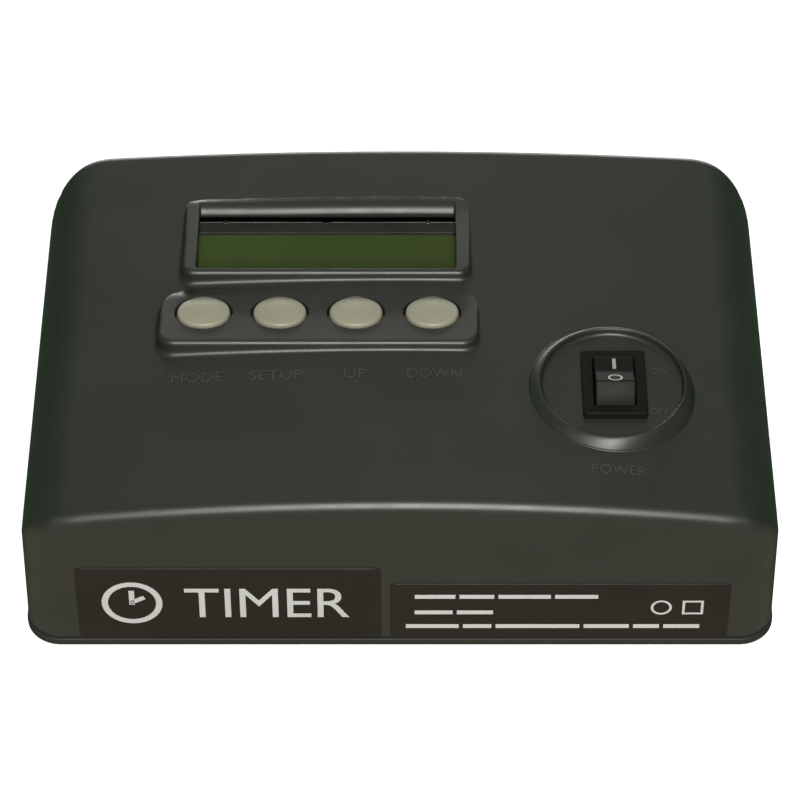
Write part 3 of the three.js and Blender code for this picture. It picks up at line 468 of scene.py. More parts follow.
def rim_stations(half_x, half_y):
    """Points round an inset rectangle, each with its rib's plan direction, and the grid's x and y values."""
    xs_front = np.linspace(-half_x, half_x, 75)
    xs_rear = np.unique(np.concatenate([np.linspace(-half_x, half_x, 61), RECESS[:2]]))[::-1]
    ys = np.linspace(-half_y, half_y, 47)

    def turns(radius):
        off = RIM - radius
        arc = np.radians(np.linspace(0, 90, 25))
        seen = np.degrees(np.arctan2(off + radius * np.sin(arc), off + radius * np.cos(arc)))
        low = np.linspace(0, seen[0], 4)[1:-1]
        return np.concatenate([low, seen, 90 - low[::-1]])

    rows = [(x, -half_y, -90) for x in xs_front]
    rows += [(half_x, -half_y, -90 + t) for t in turns(FRONT_CORNER)]
    rows += [(half_x, y, 0) for y in ys]
    rows += [(half_x, half_y, t) for t in turns(REAR_CORNER)]
    rows += [(x, half_y, 90) for x in xs_rear]
    rows += [(-half_x, half_y, 90 + t) for t in turns(REAR_CORNER)]
    rows += [(-half_x, y, 180) for y in ys[::-1]]
    rows += [(-half_x, -half_y, 180 + t) for t in turns(FRONT_CORNER)]
    return np.array(rows), xs_front, ys


def shell_skin(sheet):
    """The outer skin: walls, edges and corners as rings, then the crowned top as a grid."""
    hub = TOP - 22
    chamfer, wall, inside_height = 0.25, 2.2, 4.0
    half_x, half_y = WIDTH / 2 - RIM, DEPTH / 2 - RIM
    stations, xs, ys = rim_stations(half_x, half_y)
    angle = np.radians(stations[:, 2])
    out = np.stack([np.cos(angle), np.sin(angle), np.zeros(len(angle))], 1)
    recess_climb = math.degrees(math.atan((RECESS[3] - hub) / (RIM - (RECESS[3] - BASE_Z) * DRAFT)))
    climbs = np.unique(np.concatenate([
        np.linspace(0, 36, 10), [recess_climb], np.linspace(43, 62, 34), np.linspace(64, 90, 16)]))
    rings = []
    for z in (SHELL_BOTTOM, SHELL_BOTTOM + chamfer, SHELL_BOTTOM + 1.0, RECESS[2], 14, 19, 24):
        start = np.stack([stations[:, 0], stations[:, 1], np.full(len(stations), z)], 1)
        ring = reach_skin(start, out)
        if z == SHELL_BOTTOM:
            ring = ring - out * chamfer
        rings.append(ring)
    for climb in np.radians(climbs):
        direction = out * math.cos(climb) + np.array([0, 0, math.sin(climb)])
        start = np.stack([stations[:, 0], stations[:, 1], np.full(len(stations), hub)], 1)
        rings.append(reach_skin(start, direction))
    inner = rings[0] - out * wall
    rings = [inner + np.array([0, 0, inside_height]), inner] + rings
    rows = [sheet.add(ring) for ring in rings]
    x0, x1, z0, z1 = RECESS
    rear_side = 55
    for low, high in zip(rows, rows[1:]):
        for i in range(len(low)):
            j = (i + 1) % len(low)
            corners = (low[i], low[j], high[j], high[i])
            c = np.mean([sheet.verts[k] for k in corners], 0)
            in_recess = x0 < c[0] < x1 and z0 < c[2] < z1 and c[1] > rear_side
            if not in_recess:
                sheet.face(corners)
    grid = [[(x, y, float(crown_height(x, y))) for x in xs] for y in ys]
    rows = [sheet.add(line) for line in grid]
    for low, high in zip(rows, rows[1:]):
        for i in range(len(xs) - 1):
            corners = (low[i], low[i + 1], high[i + 1], high[i])
            cx, cy, _ = np.mean([sheet.verts[k] for k in corners], 0)
            if not under_feature(cx, cy):
                sheet.face(corners)


def under_feature(x, y):
    """True where a pad or the switch ring covers the crowned top, short of its edge."""
    pad_cover, ring_cover = 1.8, 2
    for x0, x1, y0, y1, front, rear in (DISPLAY_PAD, KEY_PAD):
        corner = front if y < (y0 + y1) / 2 else rear
        across = max(abs(x - (x0 + x1) / 2) - (x1 - x0) / 2 + corner, 0.0)
        along = max(abs(y - (y0 + y1) / 2) - (y1 - y0) / 2 + corner, 0.0)
        if math.hypot(across, along) < corner - pad_cover:
            return True
    return math.hypot(x - RING_X, (y - RING_Y) / RING_OVAL) < RING_OUT - ring_cover


def pad_height(pad, x, y):
    """The pad's top: level along its front edge, falling to run out into the crowned top at the rear."""
    ground = float(crown_height(x, y))
    slope = PAD_TOP - (PAD_TOP - PAD_REAR) * (y - pad[2]) / SLOPE_RUN[pad]
    blend = 0.25
    raised = (slope + ground + math.sqrt((slope - ground) ** 2 + blend ** 2)) / 2
    part = min(max((pad[3] - y) / PAD_ROLL[pad], 0.0), 1.0)
    return ground + (raised - ground) * part * part * (3 - 2 * part)


def pad_wall(sheet, pad):
    """A raised pad's side: hollow foot, near-upright wall and round upper edge. Returns its last loop."""
    foot = edge = 1.3
    corner_reach, lowest = 1.42, 0.02
    around, near = (inset_loop(*pad, inset, 0.0, 10, PAD_RUNS) for inset in (0.0, 1.0))
    rises = [max(pad_height(pad, x, y) - float(crown_height(x, y)), lowest) for x, y, _ in around]
    feet = [min(foot, 0.42 * rise) for rise in rises]
    edges = [min(edge, 0.5 * rise) for rise in rises]

    def outline(moves):
        """The outline, moved outwards by one amount for each point."""
        loop = []
        for (ax, ay, _), (bx, by, _), move in zip(around, near, moves):
            far = math.hypot(ax - bx, ay - by) or 1.0
            reach = min(far, corner_reach)
            loop.append((ax + (ax - bx) / far * move * reach, ay + (ay - by) / far * move * reach))
        return loop

    loops = []
    for t in quarter(10):
        flat = outline([size * (1 - math.sin(t)) for size in feet])
        sink = 0 if t else SINK
        loops.append([(x, y, float(crown_height(x, y)) + size * (1 - math.cos(t)) - sink)
                      for (x, y), size in zip(flat, feet)])
    for t in quarter(10):
        flat = outline([-size * (1 - math.cos(t)) for size in edges])
        loops.append([(x, y, pad_height(pad, x, y) - size * (1 - math.sin(t)))
                      for (x, y), size in zip(flat, edges)])
    return sheet.stack(loops)[-1]


def hole_wall(sheet, rows, bottom):
    """The wall of an opening, from the outlines of its round upper edge down."""
    last, flare = rows[-1], 0.04
    cx, cy = (sum(point[axis] for point in last) / len(last) for axis in (0, 1))
    foot = [(x, y, bottom) for x, y, _ in last]
    under = [(x + (x - cx) * flare, y + (y - cy) * flare, bottom) for x, y, _ in last]
    return sheet.stack(rows + [foot, under])[0]


def display_pad(sheet):
    """The display's pad, with an opening whose rear edge is a large round that ends in a small step."""
    outer = pad_wall(sheet, DISPLAY_PAD)
    x0, x1, y0, y1 = DISPLAY_OPENING
    front, side = 0.3, 0.4
    bend, steep, ledge = 3.3, math.radians(62), 0.85
    brink = y1 + ledge + bend * math.sin(steep)
    at_rear = 0.7
    rear = []
    for k in range(15):
        t = steep * k / 14
        rear.append((ledge + bend * (math.sin(steep) - math.sin(t)), bend * (1 - math.cos(t))))
    rear += [(ledge - 0.05, rear[-1][1] + 0.15), (ledge - 0.08, rear[-1][1] + 0.4)]
    rows = []
    for k, (back, drop) in enumerate(rear):
        t = min(math.radians(90), math.radians(90) * k / 10)
        grow, fall = side * (1 - math.sin(t)), side * (1 - math.cos(t))
        sides = x0 - grow, x1 + grow, y0 - front * (1 - math.sin(t)), y1 + back
        row = []
        for x, y, _ in rounded_loop(*sides, 0.5 + grow, None, 8, 0.0, PAD_RUNS):
            if y > y1 + back - at_rear:
                row.append((x, y, pad_height(DISPLAY_PAD, x, brink) - drop))
            else:
                row.append((x, y, pad_height(DISPLAY_PAD, x, min(y, brink)) - fall))
        rows.append(row)
    inner = hole_wall(sheet, rows, PAD_UNDER - 0.6)
    sheet.fill_shaped([outer, inner], lambda x, y: pad_height(DISPLAY_PAD, x, y))


def key_pad(sheet):
    outer = pad_wall(sheet, KEY_PAD)
    holes = []
    edge = 0.3
    for x in KEY_XS.values():
        rows = []
        for t in quarter(6):
            extra = 2 * (KEY_GAP + edge * (1 - math.sin(t)))
            loop = oval_loop(x, KEY_Y, KEY_W + extra, KEY_D + extra, 0.0)
            rows.append([(a, b, pad_height(KEY_PAD, a, b) - edge * (1 - math.cos(t))) for a, b, _ in loop])
        holes.append(hole_wall(sheet, rows, PAD_UNDER))
    sheet.fill_shaped([outer] + holes, lambda x, y: pad_height(KEY_PAD, x, y))


def switch_ring(sheet):
    """The raised ring about the switch: a round flank outside, a steep wall inside and a level floor."""
    steps, flank_steps = 160, 24
    foot, crest, flare, bulge = 0.9, 0.45, 0.35, 1.45
    hole_x, hole_y = 6.65, 9.65
    rows = []

    def inner_point(t, out):
        radius = RING_IN + out
        return RING_X + radius * math.cos(t), RING_Y + (RING_IN * RING_OVAL + out) * math.sin(t)

    def outer_point(t, out):
        return RING_X + (RING_OUT + out) * math.cos(t), RING_Y + (RING_OUT * RING_OVAL + out) * math.sin(t)

    def crest_height(t):
        """The crest is a little lower towards the front."""
        low = 0.5 - 0.5 * math.sin(t)
        return RING_TOP - RING_DROP * low * low * (3 - 2 * low)

    def ring(place):
        rows.append([place(2 * math.pi * k / steps) for k in range(steps)])

    for s in quarter(6):
        def skirt(t):
            x, y = outer_point(t, flare * (1 - math.sin(s)))
            return x, y, float(crown_height(x, y)) + flare * (1 - math.cos(s)) - (0 if s else SINK)
        ring(skirt)
    for k in range(1, flank_steps + 1):
        s = k / flank_steps

        def flank(t):
            (ax, ay), (bx, by) = outer_point(t, 0.0), inner_point(t, crest)
            ground = float(crown_height(ax, ay)) + flare
            rise = crest_height(t) - ground
            return ax + (bx - ax) * s, ay + (by - ay) * s, ground + rise * (1 - (1 - s) ** bulge)
        ring(flank)
    for s in quarter(8, 1):
        def brow(t):
            return (*inner_point(t, crest * (1 - math.sin(s))), crest_height(t) - crest * (1 - math.cos(s)))
        ring(brow)
    for s in quarter(10):
        def hollow(t):
            room = min(1.0, (crest_height(t) - crest - RING_FLOOR) / foot)
            return (*inner_point(t, -foot * (1 - math.cos(s))), RING_FLOOR + foot * (1 - math.sin(s)) * room)
        ring(hollow)
    ring(lambda t: (*inner_point(t, -foot - 0.06), RING_FLOOR))
    last = sheet.stack(rows)[-1]
    hole = about(ROCKER_X, ROCKER_Y, hole_x, hole_y, 0.3, RING_FLOOR, 3)
    rim = sheet.stack([hole, [(x, y, z - 2.0) for x, y, z in hole]])[0]
    sheet.fill([last, rim])


def rear_recess(sheet):
    """The recess for the connectors: round lip, short walls, and a floor with holes behind the flanges."""
    x0, x1, z0, z1 = RECESS
    pieces, lip, floor_inset = 12, 0.5, 0.7

    def loop(inset, depth):
        """A rectangle, depth into the rear wall, or on the recess floor where depth is None."""
        a, b, c, d = x0 + inset, x1 - inset, z0 + inset, z1 - inset
        points = []
        for p, q in (((a, c), (b, c)), ((b, c), (b, d)), ((b, d), (a, d)), ((a, d), (a, c))):
            for k in range(pieces):
                x, z = (start + (end - start) * k / pieces for start, end in zip(p, q))
                wall_y = DEPTH / 2 - (z - BASE_Z) * DRAFT
                points.append((x, RECESS_FLOOR if depth is None else wall_y - depth, z))
        return points

    loops = [loop(lip * math.sin(t), lip * (1 - math.cos(t))) for t in quarter(6)]
    rows = [sheet.add(points) for points in loops + [loop(0.55, 1.2), loop(floor_inset, None)]]
    sheet.join(rows[::-1])
    inlet, outlet, socket, fuse = 26, -8, 13.9, (-49.2, -38.8, 20.8, 31.2)
    holes = [(x - socket, x + socket, 15.9, 36.1) for x in (inlet, outlet)] + [fuse]
    xs = sorted({x0 + floor_inset, x1 - floor_inset, *(x for h in holes for x in h[:2])})
    zs = sorted({z0 + floor_inset, z1 - floor_inset, *(z for h in holes for z in h[2:])})
    for xa, xb in zip(xs, xs[1:]):
        for za, zb in zip(zs, zs[1:]):
            cx, cz, y = (xa + xb) / 2, (za + zb) / 2, RECESS_FLOOR
            if not any(h[0] < cx < h[1] and h[2] < cz < h[3] for h in holes):
                sheet.face(sheet.add([(xb, y, za), (xa, y, za), (xa, y, zb), (xb, y, zb)]))


def lettering(text, name, resolution, extrude=0.0):
    """Letters as a mesh, with their points in millimetres and the lowest and highest corner of these."""
    curve = bpy.data.curves.new(name, "FONT")
    curve.body = text
    curve.size = 10 * MM
    curve.extrude = extrude * MM
    curve.resolution_u = resolution
    obj = new_object(name, curve)
    bpy.context.view_layer.update()
    mesh = bpy.data.meshes.new_from_object(obj.evaluated_get(bpy.context.evaluated_depsgraph_get()))
    bpy.data.objects.remove(obj)
    points = np.array([v.co for v in mesh.vertices]) / MM
    return mesh, points, points.min(0), points.max(0)


def legend(text, x, y, width, height, ground=crown_height):
    """Small raised letters moulded in one with the case."""
    proud, root = 0.22, -0.3
    name = "legend_" + text.lower()
    mesh, points, low, high = lettering(text, name, 3, 0.5)
    px = x + (points[:, 0] - (low[0] + high[0]) / 2) * width / (high[0] - low[0])
    py = y + (points[:, 1] - (low[1] + high[1]) / 2) * height / (high[1] - low[1])
    pz = ground(px, py) + np.where(points[:, 2] > 0, proud, root)
    mesh.vertices.foreach_set("co", (np.stack([px, py, pz], 1) * MM).ravel())
    mesh.materials.clear()
    # The letters take the paler legend colour: a painted highlight.
    mesh.materials.append(MATERIALS["legend_painted_highlight"])
    finish_piece(new_object(name, mesh), "case", ())


def ring_floor(x, _):
    return np.full(len(x), RING_FLOOR)


def build_shell():
    sheet = Sheet()
    shell_skin(sheet)
    display_pad(sheet)
    key_pad(sheet)
    switch_ring(sheet)
    rear_recess(sheet)
    sheet.piece("case_top", ["case_plastic"], "case", ["top_shell"], "case_plastic", angle=50)
    words = ("MODE", -48.6, 12.4), ("SETUP", -29.7, 12.9), ("UP", -10.7, 5.5), ("DOWN", 8.2, 13.0)
    for text, x, width in words:
        legend(text, x, -19.2, width, 3.0)
    legend("POWER", 51.2, -49.0, 12.8, 3.0)
    legend("ON", 61.9, -17.9, 3.9, 2.2, ring_floor)
    legend("OFF", 61.5, -31.4, 4.8, 2.2, ring_floor)


# ---- base, feet, labels

def build_base():
    """The base: a thin lip under the shell, an upstand inside it, and four screw holes."""
    sheet = Sheet()
    spread_out, low_edge, high_edge, top = 0.25, 0.6, 0.45, 4.7
    hx, hy = WIDTH / 2 + spread_out, DEPTH / 2 + spread_out

    def loop(inset, z):
        return inset_loop(-hx, hx, -hy, hy, FRONT_CORNER, REAR_CORNER, inset, z, 20)

    loops = [loop(0.64, BASE_Z)]
    loops += [loop(low_edge * (1 - math.sin(t)), BASE_Z + low_edge * (1 - math.cos(t))) for t in quarter(6)]
    loops += [loop(high_edge * (1 - math.cos(t)), 4.25 + high_edge * math.sin(t)) for t in quarter(6)]
    loops += [loop(3.2, top), loop(3.2, 7.4), loop(4.6, 7.4), loop(4.6, top)]
    rows = sheet.stack(loops)
    sheet.fill([rows[-1]])
    holes = []
    bore = ((3.45, BASE_Z), (3.3, 2.65), (3.3, 5.3), (1.9, 5.3))
    for x, y in ((-78, -51), (-78, 51), (78, -51), (78, 51)):
        rings = [sheet.add(circle_loop(x, y, radius, z, 40)) for radius, z in bore]
        sheet.join([ring[::-1] for ring in rings])
        holes.append(rings[0])
    sheet.fill([rows[0]] + holes, flip=True)
    sheet.piece("case_base", ["base_plastic"], "case", ["base_plate"], "case_plastic", angle=40)


def build_feet():
    edge = 0.8
    profile = [(4.6, 0.35), (4.8, 0.12), (5.0, 0.0), (6.2, 0.0)]
    profile += [(6.2 + edge * math.sin(t), edge - edge * math.cos(t)) for t in quarter(6, 1)]
    profile += [(6.95, 2.2), (6.8, 2.4)]
    for side, y in (("front", -43), ("rear", 43)):
        for hand, x in (("left", -64), ("right", 64)):
            sheet = Sheet()
            rows = sheet.stack([circle_loop(x, y, radius, z, 56) for radius, z in profile])
            sheet.fill([rows[0]], flip=True)
            sheet.fill([rows[-1]])
            name = f"foot_{side}_{hand}"
            sheet.piece("rubber_" + name, ["foot_rubber"], "case", [name], "foot_rubber", angle=40)


def label_point(x, up, z0, proud):
    """A point on the sloping front face, up millimetres along it from height z0."""
    lean = math.atan(DRAFT)
    c, s = math.cos(lean), math.sin(lean)
    y = -DEPTH / 2 + (z0 - BASE_Z) * DRAFT - 0.06
    return (x, y + up * s - proud * c, z0 + up * c - proud * s)


def label_plate(sheet, x0, x1, z0, z1):
    """A thin film with round corners, slightly sunk into the front face."""
    thick, corner = 0.22, 1.5
    loops = []
    for inset, proud in ((0.0, -0.05), (0.0, thick - 0.08), (0.08, thick), (0.14, thick)):
        loop = inset_loop(x0, x1, 0, z1 - z0, corner, corner, inset, 0)
        loops.append([label_point(x, up, z0, proud) for x, up, _ in loop])
    sheet.fill([sheet.stack(loops)[-1]], flip=True)


def print_patch(sheet, z0, *outlines):
    """A flat printed shape: outline first, then its holes, in (x, height up the label)."""
    loops = [sheet.add([label_point(x, up, z0, PRINT_PROUD) for x, up in outline]) for outline in outlines]
    sheet.fill(loops, flip=True)


def text_on_label(sheet, text, x0, width, low, height, z0):
    mesh, points, least, most = lettering(text, text, 6)
    xs = x0 + (points[:, 0] - least[0]) * width / (most[0] - least[0])
    ups = low + (points[:, 1] - least[1]) * height / (most[1] - least[1])
    start = sheet.add([label_point(x, up, z0, PRINT_PROUD) for x, up in zip(xs, ups)])[0]
    for polygon in mesh.polygons:
        sheet.face([start + k for k in polygon.vertices])
    bpy.data.meshes.remove(mesh)


def disc_outline(x, up, radius, steps=64):
    return [(a, b) for a, b, _ in circle_loop(x, up, radius, 0.0, steps)]


def bar(x0, x1, y0, y1):
    return [(x0, y0), (x1, y0), (x1, y1), (x0, y1)]


def finish_label(sheet, name, node):
    sheet.piece(name, ["label_film", "label_print"], "case", [node], "label_film", weld=0)


def build_badge():
    """The front badge: a clock ring with two hands, and a plain word."""
    z0, x, up = 5.4, -63.5, 12.4
    sheet = Sheet()
    label_plate(sheet, -76.6, -4.5, z0, 29.7)
    sheet.mark = 1
    print_patch(sheet, z0, disc_outline(x, up, 7.2), disc_outline(x, up, 5.7))
    print_patch(sheet, z0, bar(x - 0.65, x + 0.65, up - 0.6, up + 4.3))
    short_hand = (-0.2, -0.62), (3.3, 1.4), (2.65, 2.5), (-0.65, 0.62)
    print_patch(sheet, z0, [(x + across, up + rise) for across, rise in short_hand])
    text_on_label(sheet, "TIMER", -51.0, 39.0, 7.4, 10.0, z0)
    finish_label(sheet, "badge", "front_badge")


def build_rating():
    """The rating label: rows of blank bars in place of lettering, a ring and a square."""
    z0, space, height = 5.3, 1.0, 1.35
    rows = (
        (14.0, 3.5, (9.6, 8.2, 12.4, 10.2)),
        (8.5, 3.5, (9.0, 8.6)),
        (3.6, 1.4, (12.6, 6.8, 20.0, 10.8, 6.2, 8.6)),
    )
    sheet = Sheet()
    label_plate(sheet, -2.3, 78.2, z0, 24.4)
    sheet.mark = 1
    for low, x, words in rows:
        for width in words:
            print_patch(sheet, z0, bar(x, x + width, low, low + height))
            x += width + space
    print_patch(sheet, z0, disc_outline(62.0, 10.9, 2.5), disc_outline(62.0, 10.9, 1.9))
    print_patch(sheet, z0, bar(67.0, 72.0, 8.5, 13.3), bar(67.6, 71.4, 9.1, 12.7))
    finish_label(sheet, "rating_plate", "rating_label")


# ---- display

def build_display():
    """The display's pressed frame, with a rib and two folded tongues along its rear edge."""
    sheet = Sheet()
    hw, hd, edge, fine = 35.6, 12.6, 0.6, 0.06
    x0, x1, y0, y1 = DISPLAY_X - hw, DISPLAY_X + hw, DISPLAY_Y - hd, DISPLAY_Y + hd

    def outer(inset, z):
        return inset_loop(x0, x1, y0, y1, 1.2, 1.2, inset, z, 8)

    def window(grow, z):
        return about(DISPLAY_X, DISPLAY_Y + 0.55, 32.25 + grow, 8 + grow, 0.6 + grow, z)

    loops = [outer(0, 40.9)]
    loops += [outer(edge * (1 - math.cos(t)), BEZEL_TOP - edge + edge * math.sin(t)) for t in quarter(6)]
    loops.append(outer(0.66, BEZEL_TOP))
    rows = sheet.stack(loops)
    loops = [window(0.08, BEZEL_TOP)]
    loops += [window(fine * (1 - math.sin(t)), BEZEL_TOP - fine * (1 - math.cos(t))) for t in quarter(4)]
    loops.append(window(0, BEZEL_TOP - 0.95))
    inner = sheet.stack(loops)
    sheet.fill([rows[-1], inner[0]])
    # The rib and tongues take the paler metal: a painted highlight.
    sheet.mark = 1
    rear_bead(sheet, x0 + 3.2, x1 - 3.2, y1 - 0.25)
    for dx in (-25.4, 25.4):
        tab(sheet, DISPLAY_X + dx, y1 - 0.35)
    sheet.piece(
        "display_frame", ["bezel_metal", "bezel_painted_highlight"], "case", ["display_bezel"], "bezel_metal", angle=45)


def rear_bead(sheet, x0, x1, y):
    """A narrow pressed rib along the frame's rear edge, with a small dip at its middle."""
    rows = []
    for k in range(9):
        c, s = math.cos(math.pi * k / 8), math.sin(math.pi * k / 8)
        row = []
        for i in range(121):
            x = x0 + (x1 - x0) * i / 120
            dip = max(0.0, 1 - abs(x - DISPLAY_X) / 1.1)
            row.append((x, y - 0.2 * c - 0.55 * dip, BEZEL_TOP - 0.02 + 0.12 * s + 0.1 * dip * s))
        rows.append(row)
    sheet.stack(rows, closed=False)


def tab(sheet, x, y):
    """A small folded tongue of the frame."""
    shape = ((0.0, BEZEL_TOP - 0.02), (0.05, BEZEL_TOP + 0.22), (0.18, BEZEL_TOP + 0.32))
    rows = sheet.stack([about(x, y, 0.5 - inset, 0.7 - inset, 0.2, z, 3) for inset, z in shape])
    sheet.fill([rows[-1]])


# ---- keys

def build_keys():
    """The four oval caps: upright sides cut to the pad's slope under a low smooth dome."""
    slope = (PAD_TOP - PAD_REAR) / SLOPE_RUN[KEY_PAD]
    edge, dome, rim, under, rim_top = 0.7, 0.95, 1.16, 47.0, 48.2
    narrowing = 2 * edge / KEY_W
    limit = 1 - narrowing
    for name, x in KEY_XS.items():
        sheet = Sheet()

        def oval(scale, z, tilted, x=x):
            loop = oval_loop(x, KEY_Y, KEY_W * scale, KEY_D * scale, z, 72)
            return [(a, b, c - (b - KEY_Y) * slope * tilted) for a, b, c in loop]

        flange = (0.3, under), (rim, under), (rim, rim_top), (1.0, rim_top)
        loops = [oval(scale, z, 0) for scale, z in flange]
        loops.append(oval(1.0, KEY_SIDE - edge, 1))
        for t in quarter(10, 1):
            rise = (edge + dome * (1 - limit ** 2)) * math.sin(t)
            loops.append(oval(1 - narrowing * (1 - math.cos(t)), KEY_SIDE - edge + rise, 1))
        for t in quarter(21, 1):
            rho = limit * math.cos(t)
            loops.append(oval(max(rho, 0.01), KEY_SIDE + dome * (1 - rho ** 2), 1))
        rows = sheet.stack(loops)
        sheet.fill([rows[-1]])
        sheet.fill([rows[0]], flip=True)
        stem = sheet.stack([circle_loop(x, KEY_Y, 1.9, z, 32) for z in (44.4, 47.1)])
        sheet.fill([stem[0]], flip=True)
        sheet.piece(
            "cap_" + name, ["key_plastic"], "key_" + name, ["key_cap_" + name], "key_plastic", angle=40)


# ---- rocker switch

def turn_about_pivot(points, angle):
    """Points given from the pivot as (across, back, up). A positive angle raises the front end."""
    c, s = math.cos(angle), math.sin(angle)
    return [(ROCKER_X + x, ROCKER_Y + y * c + z * s, PIVOT_Z + z * c - y * s) for x, y, z in points]


def build_rocker():
    """The switch's flange, its window and the body below, then the rocker itself."""
    sheet = Sheet()
    low, high, edge, fine = RING_FLOOR + 0.03, FLANGE_TOP, 0.45, 0.26

    def flange(inset, z):
        return about(ROCKER_X, ROCKER_Y, 7.65 - inset, 10.65 - inset, 0.9 - inset, z)

    def window(grow, z):
        return about(ROCKER_X, ROCKER_Y, 5 + grow, 8 + grow, 0.35 + grow, z)

    loops = [flange(0.25, low), flange(0.0, low + 0.15), flange(0.0, high - edge)]
    loops += [flange(edge * (1 - math.cos(t)), high - edge + edge * math.sin(t)) for t in quarter(6, 1)]
    rows = sheet.stack(loops + [flange(0.5, high)])
    loops = [window(0.3, high)]
    loops += [window(fine * (1 - math.sin(t)), high - fine * (1 - math.cos(t))) for t in quarter(4)]
    inner = sheet.stack(loops + [window(0, 38.4)])
    sheet.fill([rows[-1], inner[0]])
    sheet.fill([inner[-1]])
    body = sheet.stack([about(ROCKER_X, ROCKER_Y, 6.4, 9.4, 0.4, z, 4) for z in (34.2, 50.4)])
    sheet.fill([body[0]], flip=True)
    sheet.piece("switch_frame", ["rocker_plastic"], "case", ["rocker_housing"], "rocker_plastic", angle=40)
    rocker_cap()


def cap_profile(inset):
    """Half outline of the rocker from the valley to the underside, as (back, up) from the pivot."""
    cx, cy = CAP_RADIUS * math.cos(CAP_CORNER), CAP_RADIUS * math.sin(CAP_CORNER)
    face_part, corner_turn, radius = 0.97, 0.07, CAP_RADIUS - inset

    def at(angle):
        return radius * math.cos(angle), radius * math.sin(angle)

    top = []
    for k in range(9):
        s = k / 8 * face_part
        top.append((cx * s, CAP_VALLEY + (cy - CAP_VALLEY) * s - inset))
    edge_angle = CAP_CORNER - corner_turn
    corners = top[-1], (cx * (1 - inset / CAP_RADIUS), cy * (1 - inset / CAP_RADIUS)), at(edge_angle)
    arc = []
    for k in range(1, 7):
        t = k / 6
        arc.append(tuple((1 - t) ** 2 * a + 2 * t * (1 - t) * b + t * t * c for a, b, c in zip(*corners)))
    side = [at(edge_angle - (CAP_CORNER + math.radians(15)) * k / 14) for k in range(1, 15)]
    return top + arc + side + [(5.2, -3.0), (0.0, -3.1)]


def rocker_cap():
    """The rocker: its outline carried across, with round edges at both ends of the pivot."""
    sheet = Sheet()
    half, sheen_from, sheen_to = CAP_HALF, 12, 28
    edge = (0.0, 0.32), (0.04, 0.18), (0.14, 0.06), (0.32, 0.0)
    steps = [(-half + move, inset) for move, inset in edge]
    steps += [(-across, inset) for across, inset in steps[::-1]]
    rows = []
    for across, inset in steps:
        right = cap_profile(inset)
        outline = right + [(-v, w) for v, w in right[-2:0:-1]]
        rows.append(sheet.add(turn_about_pivot([(across, v, w) for v, w in outline], TILT)))
    sheet.join(rows[::-1])
    count = len(rows[0])
    # Faces on both end arcs take the paler rocker colour: painted sheen, a reflection painted in.
    for k in range(len(sheet.faces)):
        from_valley = min(k % count, count - 1 - k % count)
        if sheen_from <= from_valley <= sheen_to:
            sheet.marks[k] = 2
    for row, across in ((rows[0], -half), (rows[-1], half)):
        middle = sheet.add(turn_about_pivot([(across, 0, 1.0)], TILT))[0]
        for i, j in zip(row, row[1:] + row[:1]):
            sheet.face((i, j, middle) if across < 0 else (middle, j, i))
    sheet.mark = 1
    rocker_signs(sheet)
    sheet.piece(
        "switch_rocker", ["rocker_plastic", "rocker_sign", "rocker_painted_sheen"], "rocker", ["rocker_cap"],
        "rocker_plastic", angle=38, weld=0)


def rocker_signs(sheet):
    """The moulded white line and ring, lying in the two faces of the rocker."""
    slope = math.atan2(CAP_RADIUS * math.sin(CAP_CORNER) - CAP_VALLEY, CAP_RADIUS * math.cos(CAP_CORNER))
    proud = 0.02

    def on_face(points, side):
        placed = [(across, side * along * math.cos(slope), CAP_VALLEY + along * math.sin(slope) + proud)
                  for across, along in points]
        return sheet.add(turn_about_pivot(placed, TILT))

    sheet.fill([on_face(bar(-0.42, 0.42, 1.0, 4.5), 1)])
    sheet.fill([on_face(disc_outline(0.0, 3.5, radius, 40), -1) for radius in (1.75, 1.3)])


# ---- CAD nodes that stay

def soften(obj, width=0.2):
    modifier = obj.modifiers.new("soft_edges", "BEVEL")
    modifier.width = width * MM
    modifier.segments = 2
    modifier.limit_method = "ANGLE"
    modifier.angle_limit = math.radians(40)


def dress_cad_nodes():
    slots = {entry["node"]: entry["material_slot"] for entry in frame["record"]["subparts"]}
    for name, obj in frame["nodes"].items():
        obj.data.materials.clear()
        obj.data.materials.append(MATERIALS[slots[name]])
    for name in ("inlet_body", "outlet_body", "fuse_holder", "fuse_cap", "relay", "terminal_block",
                 "transformer_core", "transformer_bobbin", "controller_chip", "supply_regulator"):
        soften(frame["nodes"][name])
    for name, obj in frame["nodes"].items():
        if name.startswith(("inlet_pin", "case_screw", "key_switch")):
            soften(obj, 0.12)


# ---- camera, light and floor

def aim(obj, target):
    """Turns a camera or lamp to face a point."""
    obj.rotation_mode = "QUATERNION"
    obj.rotation_quaternion = (Vector(target) - obj.location).to_track_quat("-Z", "Y")


def add_camera():
    data = bpy.data.cameras.new("camera")
    data.sensor_width, data.lens = 36.0, 157.5
    data.clip_start, data.clip_end = 0.05, 20
    camera = new_object("camera", data)
    target = Vector((0, -3.19, 25.24)) * MM
    rise, distance = math.radians(45.7), 0.86595
    camera.location = target + Vector((0, -math.cos(rise), math.sin(rise))) * distance
    aim(camera, target)
    bpy.context.scene.camera = camera


def add_area(name, place, target, size, power, colour, shine=1.0):
    data = bpy.data.lights.new(name, "AREA")
    data.shape = "RECTANGLE"
    data.size, data.size_y = size
    data.energy, data.color, data.specular_factor = power, colour, shine
    light = new_object(name, data)
    light.location = place
    aim(light, target)


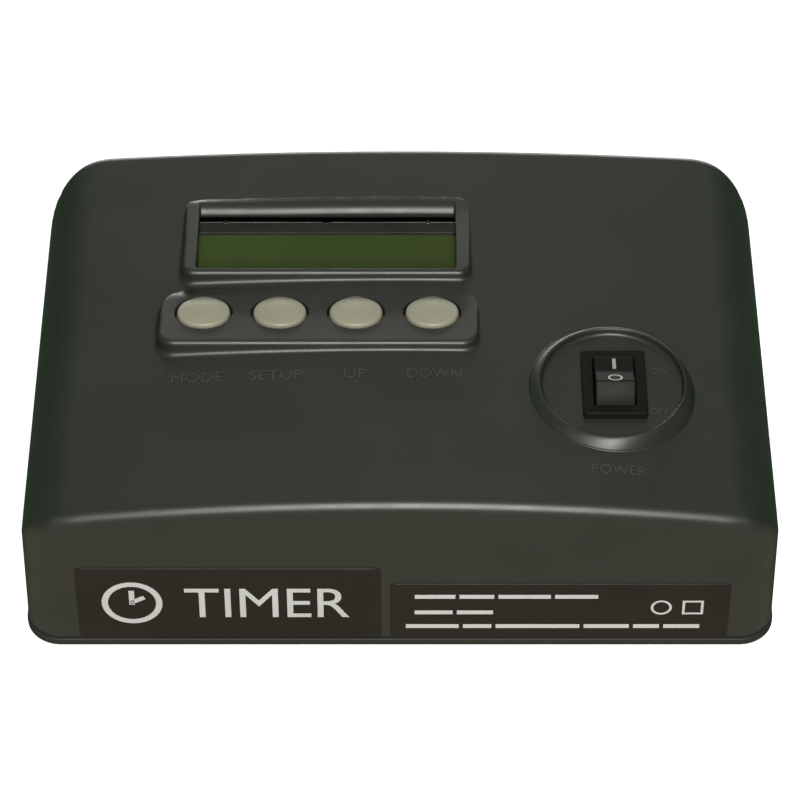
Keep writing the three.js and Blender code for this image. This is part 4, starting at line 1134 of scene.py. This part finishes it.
def add_world():
    """A dim studio: a soft panel above and behind, darker greenish sides, and a warm foreground below."""
    world = bpy.data.worlds.new("world")
    bpy.context.scene.world = world
    world.use_nodes = True
    tree = world.node_tree
    back = tree.nodes["Background"]
    split = tree.nodes.new("ShaderNodeSeparateXYZ")
    tree.links.new(tree.nodes.new("ShaderNodeTexCoord").outputs["Generated"], split.inputs["Vector"])
    sideways = tree.nodes.new("ShaderNodeMath")
    sideways.operation = "ABSOLUTE"
    tree.links.new(split.outputs["X"], sideways.inputs[0])
    across = ramp(tree, sideways.outputs[0], (0.43, 0.42, 0.375), (0.045, 0.1, 0.055), 0.08, 0.46)
    below = ramp(tree, split.outputs["Y"], (0.43, 0.385, 0.29), (0.06, 0.125, 0.065), 0.0, 0.5)
    rise = tree.nodes.new("ShaderNodeMapRange")
    set_inputs(rise, {"From Min": -0.25, "From Max": 0.1})
    tree.links.new(split.outputs["Z"], rise.inputs["Value"])
    lit = colour_mix(tree, rise.outputs["Result"], below, across)
    seen = colour_mix(tree, tree.nodes.new("ShaderNodeLightPath").outputs["Is Camera Ray"], lit, None)
    tree.links.new(seen, back.inputs["Color"])


def colour_mix(tree, factor, first, second):
    """Mixes two colour outputs. Where the second is None, it is near white."""
    a, b, result = 6, 7, 2
    node = tree.nodes.new("ShaderNodeMix")
    node.data_type = "RGBA"
    tree.links.new(factor, node.inputs["Factor"])
    tree.links.new(first, node.inputs[a])
    if second is None:
        node.inputs[b].default_value = (0.95, 0.95, 0.95, 1)
    else:
        tree.links.new(second, node.inputs[b])
    return node.outputs[result]


def add_floor():
    """A pale floor, lit from within so that it stays white, and kept out of the case's reflections."""
    mesh = bpy.data.meshes.new("floor")
    mesh.from_pydata([(-6, -6, 0), (6, -6, 0), (6, 6, 0), (-6, 6, 0)], [], [(0, 1, 2, 3)])
    floor = new_object("floor", mesh)
    material, tree, shader, where = new_material("pale floor")
    pale = ramp(tree, noise(tree, where, 3), grey(0.78), grey(0.8))
    tree.links.new(pale, shader.inputs["Base Color"])
    set_inputs(shader, {
        "Roughness": 0.9, "Specular IOR Level": 0.1,
        "Emission Color": (1, 1, 1, 1), "Emission Strength": 0.75})
    mesh.materials.append(material)
    floor.visible_diffuse = False
    floor.visible_glossy = False


add_camera()
add_world()
add_floor()
add_area("key", (0.03, -0.74, 0.78), (0, 0, 0.03), (0.34, 0.7), 14.0, (1.0, 0.99, 0.97))
add_area("rear fill", (0.0, 0.9, 0.1), (0, 0, 0.03), (0.8, 0.12), 3.2, (1.0, 1.0, 0.97), 0.0)
bpy.context.scene.view_settings.view_transform = "Standard"

dress_cad_nodes()
build_shell()
build_base()
build_feet()
build_badge()
build_rating()
build_display()
build_keys()
build_rocker()
